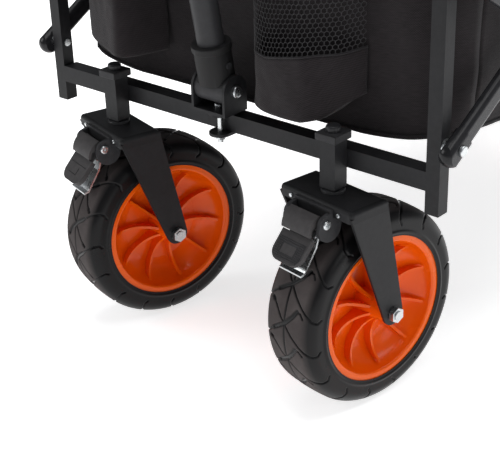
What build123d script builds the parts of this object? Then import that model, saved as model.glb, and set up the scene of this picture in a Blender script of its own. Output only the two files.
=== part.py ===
from build123d import *
from math import atan2, cos, degrees, hypot, radians, sin
import os

# A folding beach cart. X runs across it, +Y to the rear, +Z up, and the front faces -Y.
# It is drawn with y = 0 on the front face of the front posts and z = 0 on the ground,
# and moved at the end so that its origin is the middle of its box, at the ground.

# ---- driving dimensions, in millimetres and degrees ----

# wheels
WHEEL_R = 107.5             # tread radius
TYRE_W = 67.0
TYRE_SHOULDER = 15.0
RIM_R = 79.4                # outside of the orange rim
RIM_W = 65.0
RIM_LIP = 8.0               # width of the ring at the rim's edge
WEB_T = 10.0                # disc between the two dishes
DISH_FLOOR_R = 46.0
VANE_COUNT = 10
VANE_T = 3.0
VANE_REACH_R = 67.0
DISH_BOW_X = 8.0            # the dish's curve passes this far out from the web,
DISH_BOW_R = 10.0           # and this far inside its own rim
LIP_ROLL = 3.0              # rounding of the lip into the dish
HUB_R = 14.0
HUB_TAPER = 3.0             # the hub is this much thinner at its end and thicker at the web
HUB_LEN = 78.0
AXLE_R = 5.0
AXLE_CLEAR = 0.1

# forks and casters
CROWN_W = 100.8             # across the axle direction
CROWN_D = 49.0
CROWN_LIP = 12.0            # height of the folded front edge
FORK_T = 3.0
LEG_TOP_OUT = 50.4          # leg's outer face from the middle, at the crown
LEG_END_OUT = 45.6          # and at the axle
LEG_END_R = 13.0
TRAIL = 40.3                # axle behind the swivel axis
TYRE_TO_CROWN = 26.0        # room between the tread and the top of the crown
AXLE_BELOW_CROWN = WHEEL_R + TYRE_TO_CROWN
CASTER_TURN = {-1: -14.9, 1: -8.3}   # how far each caster stands turned, left and right
WHEEL_TURN = {-1: 28.0, 1: 19.2}     # how far each wheel stands turned on its axle

# caster stems
STEM_X = 151.4
STEM_SIZE = 18.6
STEM_H = 56.0
STEM_BORE_R = 5.3
STEM_CAP_SIZE = 25.3
STEM_CAP_H = 8.0
KINGPIN_R = 5.0
RING_R = 12.0
RING_H = 3.0
RUN_CLEAR = 0.3             # gap between parts that turn or slide on each other

# front and rear frames
POST_SIZE = 15.0
POST_WALL = 1.2
POST_X = 257.4              # middle of each post
POST_OVER_CROWN = 0.7       # the posts end this far above the fork crowns
BAR_SIZE = 18.8             # square tube of the crossbars
BAR_OVER_POST_END = 22.8    # underside of the lower crossbar above the posts' ends
CAP_T = 3.5

# scissor sides
LINK_T = 450.0              # pin to pin
LINK_CROSS = 155.0          # from the end at a post to the crossing
LINK_ANGLE = 30.0           # slope of the links when the cart stands open
LINK_ANGLE_FOLDED = 74.0
LOW_PIN_H = 68.0            # fixed pins above the posts' ends
TUBE_W = 11.5               # flat-oval link tube, across and along its height
TUBE_H = 21.0
TUBE_WALL = 1.3
END_CAP_WALL = 1.4
END_CAP_SLEEVE = 15.0       # cap's sleeve inboard of the pin
END_CAP_NOSE = 7.0          # from the pin to the start of its rounded end
PIN_R = 3.0
PIN_CLEAR = 0.15
PIN_HEAD_R = 5.4
PIN_HEAD_H = 3.2
SLIDER_WALL = 2.0
SLIDER_H = 34.0
SLIDER_BOSS_R = 8.0
CROSS_TUBE_R = 8.0
OPEN_PIN_CLEAR = 0.4        # at the bottom centre pin, which no joint holds

# brakes, measured from the swivel axis (y) and down from the crown's top (z)
BRAKE_PIN = (-33.5, -17.0)
BRAKE_BODY = (-28.0, -22.0)
BRAKE_BODY_R = 14.5
BRAKE_HALF_W = 25.5
BRAKE_CHEEK_T = 4.3
PEDAL_HALF_W = 20.4
PEDAL_LEN = 31.0
PEDAL_T = 5.5
PEDAL_SLOPE = 48.8
PEDAL_TOP = (-47.0, -30.5)
PEDAL_CORNER_R = 12.0
PEDAL_BARREL_R = 4.6
PEDAL_BARREL_HALF_W = 11.5
BRAKE_PLATE_T = 2.0
BRAKE_PLATE_HALF_W = 15.5
TAB_HALF_W = 19.6
TAB_T = 3.2
BRAKE_SCREW_R = 2.5
BRAKE_SCREW_HEAD_R = 4.6

# pull handle
HANDLE_Y = -5.0             # swivel bolt and cross bolt, ahead of the posts' front faces
HANDLE_PIN_H = 71.0         # cross bolt above the posts' ends
HANDLE_LEAN = 9.7           # forward, as parked
LUG_T = 3.0
LUG_R = 12.0
SWIVEL_BOLT_R = 3.0
SWIVEL_CLEAR = 0.2
WASHER_R = 11.0
WASHER_T = 2.2
BRACKET_HALF_W = 23.0
BRACKET_T = 3.0
BRACKET_R = 17.0
BRACKET_BASE_DROP = 21.0    # inner face of its base below the cross bolt
SOCKET_R = 19.0
SOCKET_START = 8.0          # above the cross bolt
SOCKET_H = 48.0
SOCKET_COLLAR_R = 20.6
SOCKET_BARREL_R = 15.6
CROSS_BOLT_R = 4.0
LOWER_TUBE_R = 14.0
LOWER_TUBE_WALL = 1.5
LOWER_TUBE_START = 12.0     # along the handle from the cross bolt
LOWER_TUBE_END = 430.0
COLLAR_R = 18.0
COLLAR_H = 38.0
UPPER_TUBE_R = 12.2
UPPER_TUBE_WALL = 1.4
UPPER_TUBE_START = 140.0
UPPER_TUBE_END = 505.0
BUTTON_R = 4.5
BUTTON_TRAVEL = 2.5
GRIP_W = 128.0
GRIP_H = 62.0
GRIP_BAR_R = 13.0
GRIP_HOLE_W = 92.0
GRIP_HOLE_H = 30.0

# bag
FABRIC_T = 4.0
BAG_FRONT_Y = 26.0          # outer face of the front panel behind the posts' front faces
BAG_HALF_W = 255.0
BAG_FLOOR_H = 48.0          # above the posts' ends
BAG_RIM_DROP = 17.0         # rim below the posts' tops
BAG_CORNER = 15.0           # the end panels stop this far inside the side panels
HEM_T = 2.0
POCKET_WALL = 3.0
CUP_POCKET = dict(x=(-211.0, -99.0), reach=42.0, low=85.0, high=190.0)
MESH_POCKET = dict(x=(38.0, 172.0), reach=44.0, low=62.0, high=292.0)
MESH_POCKET_CUT = (52.0, 33.0)      # its bottom outer corner, cut off above the caster stem

# ---- sizes that follow from them ----

CROWN_Z = WHEEL_R + AXLE_BELOW_CROWN
POST_Z = CROWN_Z + POST_OVER_CROWN
POST_MID_Y = POST_SIZE / 2
PIN_Z = POST_Z + LOW_PIN_H


def link_heights(angle):
    """Heights above the low pins of the sliding pin, the top centre and the bottom centre."""
    rise = sin(radians(angle))
    return 2 * LINK_CROSS * rise, LINK_T * rise, (2 * LINK_CROSS - LINK_T) * rise


SLIDE_H, TOP_CENTRE_H, LOW_CENTRE_H = link_heights(LINK_ANGLE)
SLIDE_FOLDED_H = link_heights(LINK_ANGLE_FOLDED)[0]
WHEELBASE_OPEN = 2 * LINK_T * cos(radians(LINK_ANGLE))
REAR_POST_MID_Y = POST_MID_Y + WHEELBASE_OPEN
CENTRE_Y = POST_MID_Y + WHEELBASE_OPEN / 2
TOP_BAR_Z = PIN_Z + SLIDE_FOLDED_H + SLIDER_H / 2 + 4.0      # underside of the top crossbar
POST_TOP_Z = TOP_BAR_Z + BAR_SIZE + 7.0
LOW_BAR_Z = POST_Z + BAR_OVER_POST_END

SLIDER_OUT = POST_X + POST_SIZE / 2 + RUN_CLEAR + SLIDER_WALL
CAP_W = TUBE_W + 2 * END_CAP_WALL
CAP_H = TUBE_H + 2 * END_CAP_WALL
INNER_LINK_X = SLIDER_OUT + 0.5 + CAP_W / 2
OUTER_LINK_X = INNER_LINK_X + CAP_W + 0.8
LINK_PLANE = {1: INNER_LINK_X, 2: OUTER_LINK_X, 3: OUTER_LINK_X, 4: INNER_LINK_X}
PIN_END_X = OUTER_LINK_X + CAP_W / 2 + 0.3

STEM_Y = -STEM_SIZE / 2 - 0.6
REAR_BAR_Y = REAR_POST_MID_Y + POST_SIZE / 2 - BAR_SIZE
REAR_STEM_Y = REAR_POST_MID_Y + POST_SIZE / 2 + STEM_SIZE / 2
STEM_Z = CROWN_Z + RING_H + RUN_CLEAR
BAG_REAR_Y = REAR_POST_MID_Y - (BAG_FRONT_Y - POST_MID_Y)
BAG_RIM_Z = POST_TOP_Z - BAG_RIM_DROP
BAG_FLOOR_Z = POST_Z + BAG_FLOOR_H
HANDLE_PIN_Z = POST_Z + HANDLE_PIN_H
BASE_TOP_Z = HANDLE_PIN_Z - BRACKET_BASE_DROP
GRIP_MID = UPPER_TUBE_END + GRIP_H / 2 - 6.0

# joints, for the record: every point is in the drawing's own frame
CROSS_FRONT = (POST_MID_Y + LINK_CROSS * cos(radians(LINK_ANGLE)), PIN_Z + SLIDE_H / 2)
CROSS_REAR = (REAR_POST_MID_Y - LINK_CROSS * cos(radians(LINK_ANGLE)), PIN_Z + SLIDE_H / 2)
TOP_CENTRE = (CENTRE_Y, PIN_Z + TOP_CENTRE_H)
LOW_CENTRE = (CENTRE_Y, PIN_Z + LOW_CENTRE_H)


# ---- shapes used more than once ----

def block(x0, x1, y0, y1, z0, z1):
    middle = ((x0 + x1) / 2, (y0 + y1) / 2, (z0 + z1) / 2)
    return Pos(*middle) * Box(x1 - x0, y1 - y0, z1 - z0)


def rod_x(x0, x1, y, z, r):
    return Pos((x0 + x1) / 2, y, z) * Rot(0, 90, 0) * Cylinder(r, abs(x1 - x0))


def rod_z(x, y, z0, z1, r):
    return Pos(x, y, (z0 + z1) / 2) * Cylinder(r, abs(z1 - z0))


def hex_x(x0, x1, y, z, r):
    prism = extrude(RegularPolygon(r, 6), abs(x1 - x0))
    return Pos(min(x0, x1), y, z) * Rot(0, 90, 0) * prism


def hex_z(x, y, z0, z1, r):
    return Pos(x, y, z0) * extrude(RegularPolygon(r, 6), z1 - z0)


def square_tube_z(x, y, z0, z1, size, wall):
    h = size / 2
    outer = block(x - h, x + h, y - h, y + h, z0, z1)
    inner = block(x - h + wall, x + h - wall, y - h + wall, y + h - wall, z0, z1)
    return outer - inner


def square_tube_x(x0, x1, y0, z0, size, wall):
    outer = block(x0, x1, y0, y0 + size, z0, z0 + size)
    inner = block(x0, x1, y0 + wall, y0 + size - wall, z0 + wall, z0 + size - wall)
    return outer - inner


def plate_yz(points, x0, x1):
    """A flat plate drawn in the side view, from x0 to x1."""
    face = make_face(Polyline(*[(0, y, z) for y, z in points], close=True))
    return Pos(x0, 0, 0) * extrude(face, x1 - x0, dir=(1, 0, 0))


def mirrored(shape):
    return [shape, mirror(shape, Plane.YZ)]


def headed_pin_x(x0, x1, y, z, r, head_r, head_h):
    """A pin from x0 out to x1, with a domed head beyond each end."""
    shaft = rod_x(x0, x1, y, z, r)
    outer = fillet((rod_x(x1, x1 + head_h, y, z, head_r)).edges().group_by(Axis.X)[-1], head_h * 0.45)
    tail = rod_x(x0 - 1.4, x0, y, z, r + 1.2)
    return shaft + outer + tail


def at_caster(side, shape):
    return Pos(side * STEM_X, STEM_Y, 0) * Rot(0, 0, CASTER_TURN[side]) * shape


def at_rear(side, shape):
    return Pos(side * STEM_X, REAR_STEM_Y, 0) * shape


# ---- wheels, drawn with the axle on X through the origin ----

def tyre():
    section = Pos(0, (WHEEL_R + RIM_R) / 2 + 0.05) * Rectangle(TYRE_W, WHEEL_R - RIM_R - 0.1)
    shoulder = section.vertices().group_by(Axis.Y)[-1]
    section = fillet(shoulder, TYRE_SHOULDER)
    bead = section.vertices().group_by(Axis.Y)[0]
    return revolve(fillet(bead, 3.0), Axis.X)


def rim_section():
    """Half of the rim's section on the +X side: bore, hub, web, dish and rolled lip."""
    face_x = RIM_W / 2
    web_x = WEB_T / 2
    bore_r = AXLE_R + AXLE_CLEAR
    dish_top_r = RIM_R - RIM_LIP
    hub = Polyline((0, RIM_R), (0, bore_r), (HUB_LEN / 2, bore_r), (HUB_LEN / 2, HUB_R - HUB_TAPER),
                   (web_x, HUB_R + HUB_TAPER), (web_x, DISH_FLOOR_R))
    dish = ThreePointArc((web_x, DISH_FLOOR_R), (web_x + DISH_BOW_X, dish_top_r - DISH_BOW_R),
                         (face_x - LIP_ROLL, dish_top_r))
    bend = LIP_ROLL * sin(radians(45))
    lip_mid = (face_x - LIP_ROLL + bend, dish_top_r + LIP_ROLL - bend)
    lip = ThreePointArc((face_x - LIP_ROLL, dish_top_r), lip_mid, (face_x, dish_top_r + LIP_ROLL))
    edge = Polyline((face_x, dish_top_r + LIP_ROLL), (face_x, RIM_R), (0, RIM_R))
    return make_face([hub, dish, lip, edge])


def vane():
    low, high = WEB_T / 2 - 1, RIM_W / 2 - 5.5
    dip = WEB_T / 2 + 9.0
    bottom = Line((low, HUB_R - 2), (low, VANE_REACH_R - 8))
    slope = Line((low, VANE_REACH_R - 8), (high, VANE_REACH_R))
    top = ThreePointArc((high, VANE_REACH_R), (dip, (HUB_R + VANE_REACH_R) / 2), (high, HUB_R - 2))
    close = Line((high, HUB_R - 2), (low, HUB_R - 2))
    return extrude(make_face([bottom, slope, top, close]), VANE_T / 2, both=True)


def rim():
    side = revolve(rim_section(), Axis.X)
    for i in range(VANE_COUNT):
        side += Rot(i * 360 / VANE_COUNT, 0, 0) * vane()
    return side + mirror(side, Plane.YZ)


def axle_height(shape):
    return Pos(0, TRAIL, WHEEL_R) * shape


def standing_rim(side):
    """A rim on its axle, turned as its wheel stands."""
    return axle_height(Rot(WHEEL_TURN[side], 0, 0) * rim())


def axle():
    """Bolt, with a nut at each end and a sleeve between the hub and each leg."""
    leg_in = LEG_END_OUT - FORK_T
    bolt = rod_x(-LEG_END_OUT - 2, LEG_END_OUT + 8, 0, 0, AXLE_R)
    bolt += hex_x(-LEG_END_OUT - 7.5, -LEG_END_OUT - 0.6, 0, 0, 8.4)
    bolt += hex_x(LEG_END_OUT + 0.6, LEG_END_OUT + 6.5, 0, 0, 8.4)
    sleeve = rod_x(HUB_LEN / 2 + RUN_CLEAR, leg_in - 0.4, 0, 0, 8.5) - rod_x(0, 60, 0, 0, AXLE_R + AXLE_CLEAR)
    return [axle_height(s) for s in [bolt, *mirrored(sleeve)]]


# ---- fork: crown and two tapering legs, in caster coordinates ----

def leg():
    """Tapering plate, drawn from the crown down and leaned in towards the hub."""
    top_z = CROWN_Z - 7.0
    drop = top_z - WHEEL_R
    half_d = CROWN_D / 2
    top_edge = Line((-half_d, 0), (half_d, 0))
    end = Pos(TRAIL, -drop) * CenterArc((0, 0), LEG_END_R, 0, 360)
    outline = Plane.YZ * make_hull([top_edge, *end.edges()])
    plate = extrude(outline, FORK_T, dir=(1, 0, 0))
    lean = degrees(atan2(LEG_TOP_OUT - LEG_END_OUT, drop))
    placed = Pos(LEG_TOP_OUT - FORK_T, 0, top_z) * Rot(0, lean, 0) * plate
    return placed - rod_x(0, 80, TRAIL, WHEEL_R, AXLE_R + AXLE_CLEAR)


def crown():
    w, d = CROWN_W / 2, CROWN_D / 2
    shell = block(-w, w, -d, d, CROWN_Z - CROWN_LIP, CROWN_Z)
    rounded = shell.edges().group_by(Axis.Z)[-1] + shell.edges().filter_by(Axis.Z).group_by(Axis.Y)[0]
    shell = fillet(rounded, 4.5)
    inside = block(-w + FORK_T, w - FORK_T, -d + FORK_T, d + 1, CROWN_Z - CROWN_LIP - 1, CROWN_Z - FORK_T)
    inside = fillet(inside.edges().group_by(Axis.Z)[-1].filter_by(Axis.Y), 2.0)
    return shell - inside


def fork():
    whole = crown()
    for side in mirrored(leg()):
        whole += side
    return whole - rod_z(0, 0, CROWN_Z - 20, CROWN_Z + 5, KINGPIN_R + RUN_CLEAR)


# ---- brake, in caster coordinates ----

def brake_point(y_z):
    return y_z[0], CROWN_Z + y_z[1]


def brake_rod(x0, x1, r):
    return rod_x(x0, x1, *brake_point(BRAKE_PIN), r)


def brake_housing():
    """Two round cheeks joined by a back wall that seats on the crown's folded edge."""
    front_of_crown = -CROWN_D / 2
    body = rod_x(-BRAKE_HALF_W, BRAKE_HALF_W, *brake_point(BRAKE_BODY), BRAKE_BODY_R)
    gap = BRAKE_HALF_W - BRAKE_CHEEK_T
    body -= block(-gap, gap, -80, front_of_crown + 3.5, CROWN_Z - 60, CROWN_Z + 10)
    body -= block(-60, 60, front_of_crown, 40, CROWN_Z - CROWN_LIP - 0.2, CROWN_Z + 10)
    bridge = block(-BRAKE_HALF_W, BRAKE_HALF_W, front_of_crown - 3.0, front_of_crown,
                   CROWN_Z - CROWN_LIP - 3, CROWN_Z - 4)
    pin_boss = rod_x(gap, BRAKE_HALF_W, *brake_point(BRAKE_PIN), 8.0)
    for part in [bridge, *mirrored(pin_boss)]:
        body += part
    return body - brake_rod(-60, 60, BRAKE_SCREW_R + 0.05)


def brake_fixings():
    """The pivot screw with its cross-slotted head and tail nut, and two crown rivets."""
    head = rod_x(BRAKE_HALF_W, BRAKE_HALF_W + 2.6, *brake_point(BRAKE_PIN), BRAKE_SCREW_HEAD_R)
    head = fillet(head.edges().group_by(Axis.X)[-1], 1.4)
    y, z = brake_point(BRAKE_PIN)
    for turn in (0, 90):
        slot = Pos(BRAKE_HALF_W + 2.6, y, z) * Rot(turn, 0, 0) * Box(2.4, 1.0, 5.0)
        head -= slot
    nut = hex_x(-BRAKE_HALF_W - 3.5, -BRAKE_HALF_W, y, z, 4.6)
    screw = head + nut + brake_rod(-BRAKE_HALF_W, BRAKE_HALF_W, BRAKE_SCREW_R)
    rivets = []
    for side in (-1, 1):
        rivet = Pos(side * 33.0, -CROWN_D / 2 - 0.9, CROWN_Z - 7.5) * Rot(90, 0, 0) * Cylinder(2.2, 1.8)
        rivets.append(fillet(rivet.edges().group_by(Axis.Y)[0], 0.8))
    return [screw, *rivets]


def pedal_neck(share, drop=0.0):
    """Point on the underside of the pedal's neck, from its barrel (0) to its foot (1)."""
    pin_y, pin_z = brake_point(BRAKE_PIN)
    foot_y, foot_z = brake_point(PEDAL_TOP)
    y0, z0, y1, z1 = pin_y + 2.0, pin_z - 5.5, foot_y + 5.0, foot_z - 5.5
    return y0 + share * (y1 - y0) + drop * 0.8, z0 + share * (z1 - z0) - drop * 0.6


def pedal():
    """Foot plate hung from a barrel on the brake's pivot screw."""
    foot = Box(2 * PEDAL_HALF_W, PEDAL_LEN, PEDAL_T)
    tip = foot.edges().filter_by(Axis.Z).group_by(Axis.Y)[0]
    foot = Pos(0, -PEDAL_LEN / 2, -PEDAL_T / 2) * fillet(tip, PEDAL_CORNER_R)
    foot = Rot(PEDAL_SLOPE, 0, 0) * foot
    y, z = brake_point(PEDAL_TOP)
    whole = Pos(0, y, z) * foot
    pin_y, pin_z = brake_point(BRAKE_PIN)
    w = PEDAL_BARREL_HALF_W
    whole += rod_x(-w, w, pin_y, pin_z, PEDAL_BARREL_R)
    neck = [(y - 1.0, z - 2.0), pedal_neck(1), pedal_neck(0), (pin_y - 4.0, pin_z - 2.0)]
    whole += plate_yz(neck, -w, w)
    return whole - brake_rod(-60, 60, BRAKE_SCREW_R + PIN_CLEAR)


def brake_plate():
    """Bent steel strip under the pedal; its turned-up foot presses on the tread."""
    pin_y, pin_z = brake_point(BRAKE_PIN)
    t = BRAKE_PLATE_T
    knee = (pin_y - 4.5, pin_z - 27.0)
    toe = (pin_y - 19.0, pin_z - 48.5)
    lip = (toe[0] - 5.0, toe[1] - 1.5)
    seat = [pedal_neck(0, 0.05), pedal_neck(0.7, 0.05), pedal_neck(0.7, 0.05 + t), pedal_neck(0.32, t + 0.5)]
    back = [(lip[0] + 0.5, lip[1] - t), (toe[0] + 1.2, toe[1] - t), (knee[0] + t, knee[1] - 0.4)]
    strip = [*seat, knee, toe, lip, *back, pedal_neck(0, 0.05 + t)]
    return plate_yz(strip, -BRAKE_PLATE_HALF_W, BRAKE_PLATE_HALF_W)


def release_tab():
    """Curved cover above the pedal, on two arms beside the pedal's barrel."""
    y, z = brake_point(BRAKE_PIN)
    outer = ThreePointArc((0, y - 3.0, z + 8.3), (0, y - 12.9, z + 1.0), (0, y - 16.5, z - 10.5))
    end = Line((0, y - 16.5, z - 10.5), (0, y - 16.5 + TAB_T, z - 10.9))
    inner = ThreePointArc((0, y - 16.5 + TAB_T, z - 10.9), (0, y - 10.5, z - 1.2), (0, y - 1.5, z + 8.3 - TAB_T))
    close = Line((0, y - 1.5, z + 8.3 - TAB_T), (0, y - 3.0, z + 8.3))
    skin = extrude(make_face([outer, end, inner, close]), TAB_HALF_W, dir=(1, 0, 0), both=True)
    arm_in = PEDAL_BARREL_HALF_W + RUN_CLEAR
    arm = rod_x(arm_in, TAB_HALF_W, y, z, 5.0)
    arm += plate_yz([(y + 1, z + 4.6), (y - 6, z + 5.5), (y - 13, z - 3), (y - 3, z - 3.5)], arm_in, TAB_HALF_W)
    for part in mirrored(arm):
        skin += part
    return skin - brake_rod(-60, 60, BRAKE_SCREW_R + PIN_CLEAR)


# ---- stems, kingpins and rings: one per wheel ----

def stem(x, y):
    h = STEM_SIZE / 2
    body = block(x - h, x + h, y - h, y + h, STEM_Z, STEM_Z + STEM_H)
    body = chamfer(body.edges().group_by(Axis.Z)[0], 1.6)
    return body - rod_z(x, y, STEM_Z - 1, STEM_Z + STEM_H + 1, STEM_BORE_R)


def stem_cap(x, y):
    """Square cap over the stem's top, with a skirt that stops short of the crossbar."""
    h = STEM_CAP_SIZE / 2
    top = STEM_Z + STEM_H + 2.5
    cap = fillet(block(x - h, x + h, y - h, y + h, top - STEM_CAP_H, top).edges(), 1.2)
    inner = STEM_SIZE / 2 + 0.05
    cap -= block(x - inner, x + inner, y - inner, y + inner, top - STEM_CAP_H - 1, top - 2.5)
    return cap - rod_z(x, y, top - 10, top + 5, KINGPIN_R + 0.05)


def kingpin(x, y):
    top = STEM_Z + STEM_H + 2.5
    shaft = rod_z(x, y, CROWN_Z - 11, top, KINGPIN_R)
    head = fillet(rod_z(x, y, top, top + 6.5, 7.4).edges().group_by(Axis.Z)[-1], 2.6)
    nut = hex_z(x, y, CROWN_Z - FORK_T - 8.0, CROWN_Z - FORK_T - RUN_CLEAR, 8.6)
    return shaft + head + nut


def swivel_ring(x, y):
    ring = fillet(rod_z(x, y, CROWN_Z + RUN_CLEAR, STEM_Z - 0.05, RING_R).edges().group_by(Axis.Z)[-1], 1.2)
    return ring - rod_z(x, y, CROWN_Z - 5, STEM_Z + 5, KINGPIN_R + 0.05)


# ---- end frames ----

def posts(mid_y):
    return [square_tube_z(side * POST_X, mid_y, POST_Z, POST_TOP_Z, POST_SIZE, POST_WALL)
            - rod_x(-400, 400, mid_y, PIN_Z, PIN_R + 0.05) for side in (-1, 1)]


def crossbars(y0):
    x = POST_X - POST_SIZE / 2
    return [square_tube_x(-x, x, y0, z, BAR_SIZE, POST_WALL) for z in (LOW_BAR_Z, TOP_BAR_Z)]


def post_caps(mid_y):
    caps = []
    h = POST_SIZE / 2 + 0.8
    for side in (-1, 1):
        x = side * POST_X
        top = block(x - h, x + h, mid_y - h, mid_y + h, POST_TOP_Z, POST_TOP_Z + CAP_T)
        caps.append(fillet(top.edges().group_by(Axis.Z)[-1], 1.8))
        plug = POST_SIZE / 2 - POST_WALL - 0.05
        caps.append(block(x - plug, x + plug, mid_y - plug, mid_y + plug, POST_Z + 0.4, POST_Z + 10))
    return caps


def low_pins(mid_y, link):
    """The fixed pins through the posts' feet, with the spacer that each link bears on."""
    inner_face = POST_X - POST_SIZE / 2
    link_in = LINK_PLANE[link] - CAP_W / 2
    link_out = LINK_PLANE[link] + CAP_W / 2
    pin = headed_pin_x(inner_face, link_out + 0.2, mid_y, PIN_Z, PIN_R, PIN_HEAD_R, PIN_HEAD_H)
    spacer = rod_x(POST_X + POST_SIZE / 2, link_in - 0.2, mid_y, PIN_Z, 7.5)
    return mirrored(pin + spacer)


# ---- scissor links ----

def slot_prism(width, height, length):
    """A flat-oval bar along +Y: rounded top and bottom edges, width across X."""
    return Rot(-90, 0, 0) * extrude(Rot(0, 0, 90) * SlotOverall(height, width), length)


def end_cap():
    """Plastic cap at the origin's end of a link that runs along +Y, pin on X at the origin."""
    half_h = CAP_H / 2
    sleeve = Pos(0, -END_CAP_NOSE, 0) * slot_prism(CAP_W, CAP_H, END_CAP_NOSE + END_CAP_SLEEVE)
    nose = Pos(0, -END_CAP_NOSE - half_h, 0) * slot_prism(CAP_W, CAP_H, half_h)
    nose = nose & Pos(0, -END_CAP_NOSE, 0) * Sphere(half_h + 0.01)
    cavity = Pos(0, -END_CAP_NOSE + 2, 0) * slot_prism(TUBE_W + 0.1, TUBE_H + 0.1, END_CAP_SLEEVE + 20)
    return sleeve + nose - cavity


def link_tube(pins):
    """Tube of one link lying along +Y from its start pin, bored for its pins."""
    start, length = -END_CAP_NOSE + 2.2, LINK_T + 2 * (END_CAP_NOSE - 2.2)
    tube = Pos(0, start, 0) * slot_prism(TUBE_W, TUBE_H, length)
    core = slot_prism(TUBE_W - 2 * TUBE_WALL, TUBE_H - 2 * TUBE_WALL, length + 2)
    tube -= Pos(0, start - 1, 0) * core
    for y, r in pins:
        tube -= rod_x(-20, 20, y, 0, r)
    return tube


def link_caps(start_r, end_r):
    first = end_cap() - rod_x(-20, 20, 0, 0, start_r)
    last = end_cap() - rod_x(-20, 20, 0, 0, end_r)
    return [first, Pos(0, LINK_T, 0) * Rot(0, 0, 180) * last]


def place_link(number, shapes):
    """Puts shapes drawn along +Y on link 1 to 4, on both sides of the cart."""
    start = {1: (POST_MID_Y, PIN_Z), 2: (POST_MID_Y, PIN_Z + SLIDE_H), 3: TOP_CENTRE, 4: LOW_CENTRE}[number]
    slope = LINK_ANGLE if number in (1, 4) else -LINK_ANGLE
    placed = []
    for shape in shapes:
        one = Pos(LINK_PLANE[number], *start) * Rot(slope, 0, 0) * shape
        placed += mirrored(one)
    return placed


def link(number):
    hole = PIN_R + PIN_CLEAR
    open_hole = PIN_R + OPEN_PIN_CLEAR
    cross_at = LINK_CROSS if number in (1, 2) else LINK_T - LINK_CROSS
    ends = {1: (hole, PIN_R + 0.05), 2: (hole, PIN_R + 0.05), 3: (hole, hole), 4: (open_hole, hole)}[number]
    cross_r = PIN_R + 0.05 if number in (1, 3) else hole
    tube = link_tube([(0, ends[0]), (cross_at, cross_r), (LINK_T, ends[1])])
    return place_link(number, [tube]), place_link(number, link_caps(*ends))


def crossing_pin(y_z):
    """Pin through both links of one crossing, with the washer that keeps them apart."""
    x0 = INNER_LINK_X - TUBE_W / 2 - 0.1
    x1 = OUTER_LINK_X + TUBE_W / 2 + 0.3
    pin = headed_pin_x(x0, x1, *y_z, PIN_R, PIN_HEAD_R, PIN_HEAD_H)
    return pin + rod_x(INNER_LINK_X + TUBE_W / 2 + 0.1, OUTER_LINK_X - TUBE_W / 2 - 0.2, *y_z, 6.5)


def top_centre_pin():
    x0 = INNER_LINK_X - CAP_W / 2 - 0.1
    return headed_pin_x(x0, PIN_END_X, *TOP_CENTRE, PIN_R, PIN_HEAD_R, PIN_HEAD_H)


def low_cross_tube():
    """Tube across the cart between the bottom centre pins."""
    end = INNER_LINK_X - CAP_W / 2 - 0.4
    tube = rod_x(-end, end, *LOW_CENTRE, CROSS_TUBE_R) - rod_x(-end + 4, end - 4, *LOW_CENTRE, CROSS_TUBE_R - 1.4)
    pin = headed_pin_x(end - 1, PIN_END_X, *LOW_CENTRE, PIN_R, PIN_HEAD_R, PIN_HEAD_H)
    for part in mirrored(pin):
        tube += part
    return tube


def slider(mid_y, link_number):
    """Sleeve on a post, with the boss and pin that carry one link."""
    z = PIN_Z + SLIDE_H
    bore = POST_SIZE / 2 + RUN_CLEAR
    out = SLIDER_OUT - POST_X
    link_in = LINK_PLANE[link_number] - CAP_W / 2
    link_out = LINK_PLANE[link_number] + CAP_W / 2
    half_h = SLIDER_H / 2
    sleeve = block(POST_X - out, POST_X + out, mid_y - out, mid_y + out, z - half_h, z + half_h)
    sleeve = fillet(sleeve.edges().filter_by(Axis.Z), 1.8)
    sleeve -= block(POST_X - bore, POST_X + bore, mid_y - bore, mid_y + bore, z - half_h - 1, z + half_h + 1)
    if link_in - 0.2 > SLIDER_OUT + 0.5:
        sleeve += rod_x(SLIDER_OUT - 0.2, link_in - 0.2, mid_y, z, SLIDER_BOSS_R)
    sleeve += rod_x(SLIDER_OUT - 1, link_out + 0.2, mid_y, z, PIN_R)
    sleeve += rod_x(link_out + 0.2, link_out + 0.2 + PIN_HEAD_H, mid_y, z, PIN_HEAD_R)
    return mirrored(sleeve)


# ---- pull handle ----

def handle_lugs():
    """Round-ended tongues on the top and the underside of the lower crossbar."""
    lugs = []
    for z in (LOW_BAR_Z - LUG_T, LOW_BAR_Z + BAR_SIZE):
        tongue = block(-LUG_R, LUG_R, HANDLE_Y, BAR_SIZE - 1.0, z, z + LUG_T)
        tongue += rod_z(0, HANDLE_Y, z, z + LUG_T, LUG_R)
        lugs.append(tongue - rod_z(0, HANDLE_Y, z - 1, z + LUG_T + 1, SWIVEL_BOLT_R + 0.05))
    return lugs


def swivel_bolt():
    base_z = BASE_TOP_Z + RUN_CLEAR
    nut_top = LOW_BAR_Z - LUG_T - 0.05
    bolt = rod_z(0, HANDLE_Y, nut_top - 8.5, base_z, SWIVEL_BOLT_R)
    bolt += fillet(rod_z(0, HANDLE_Y, base_z, base_z + 3.6, 5.6).edges().group_by(Axis.Z)[-1], 1.5)
    return bolt + hex_z(0, HANDLE_Y, nut_top - 5.0, nut_top, 5.6)


def swivel_washer():
    low = LOW_BAR_Z + BAR_SIZE + LUG_T
    high = BASE_TOP_Z - BRACKET_T - RUN_CLEAR / 2
    ring = rod_z(0, HANDLE_Y, low, high, WASHER_R)
    return ring - rod_z(0, HANDLE_Y, low - 1, high + 1, SWIVEL_BOLT_R + 0.05)


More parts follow.
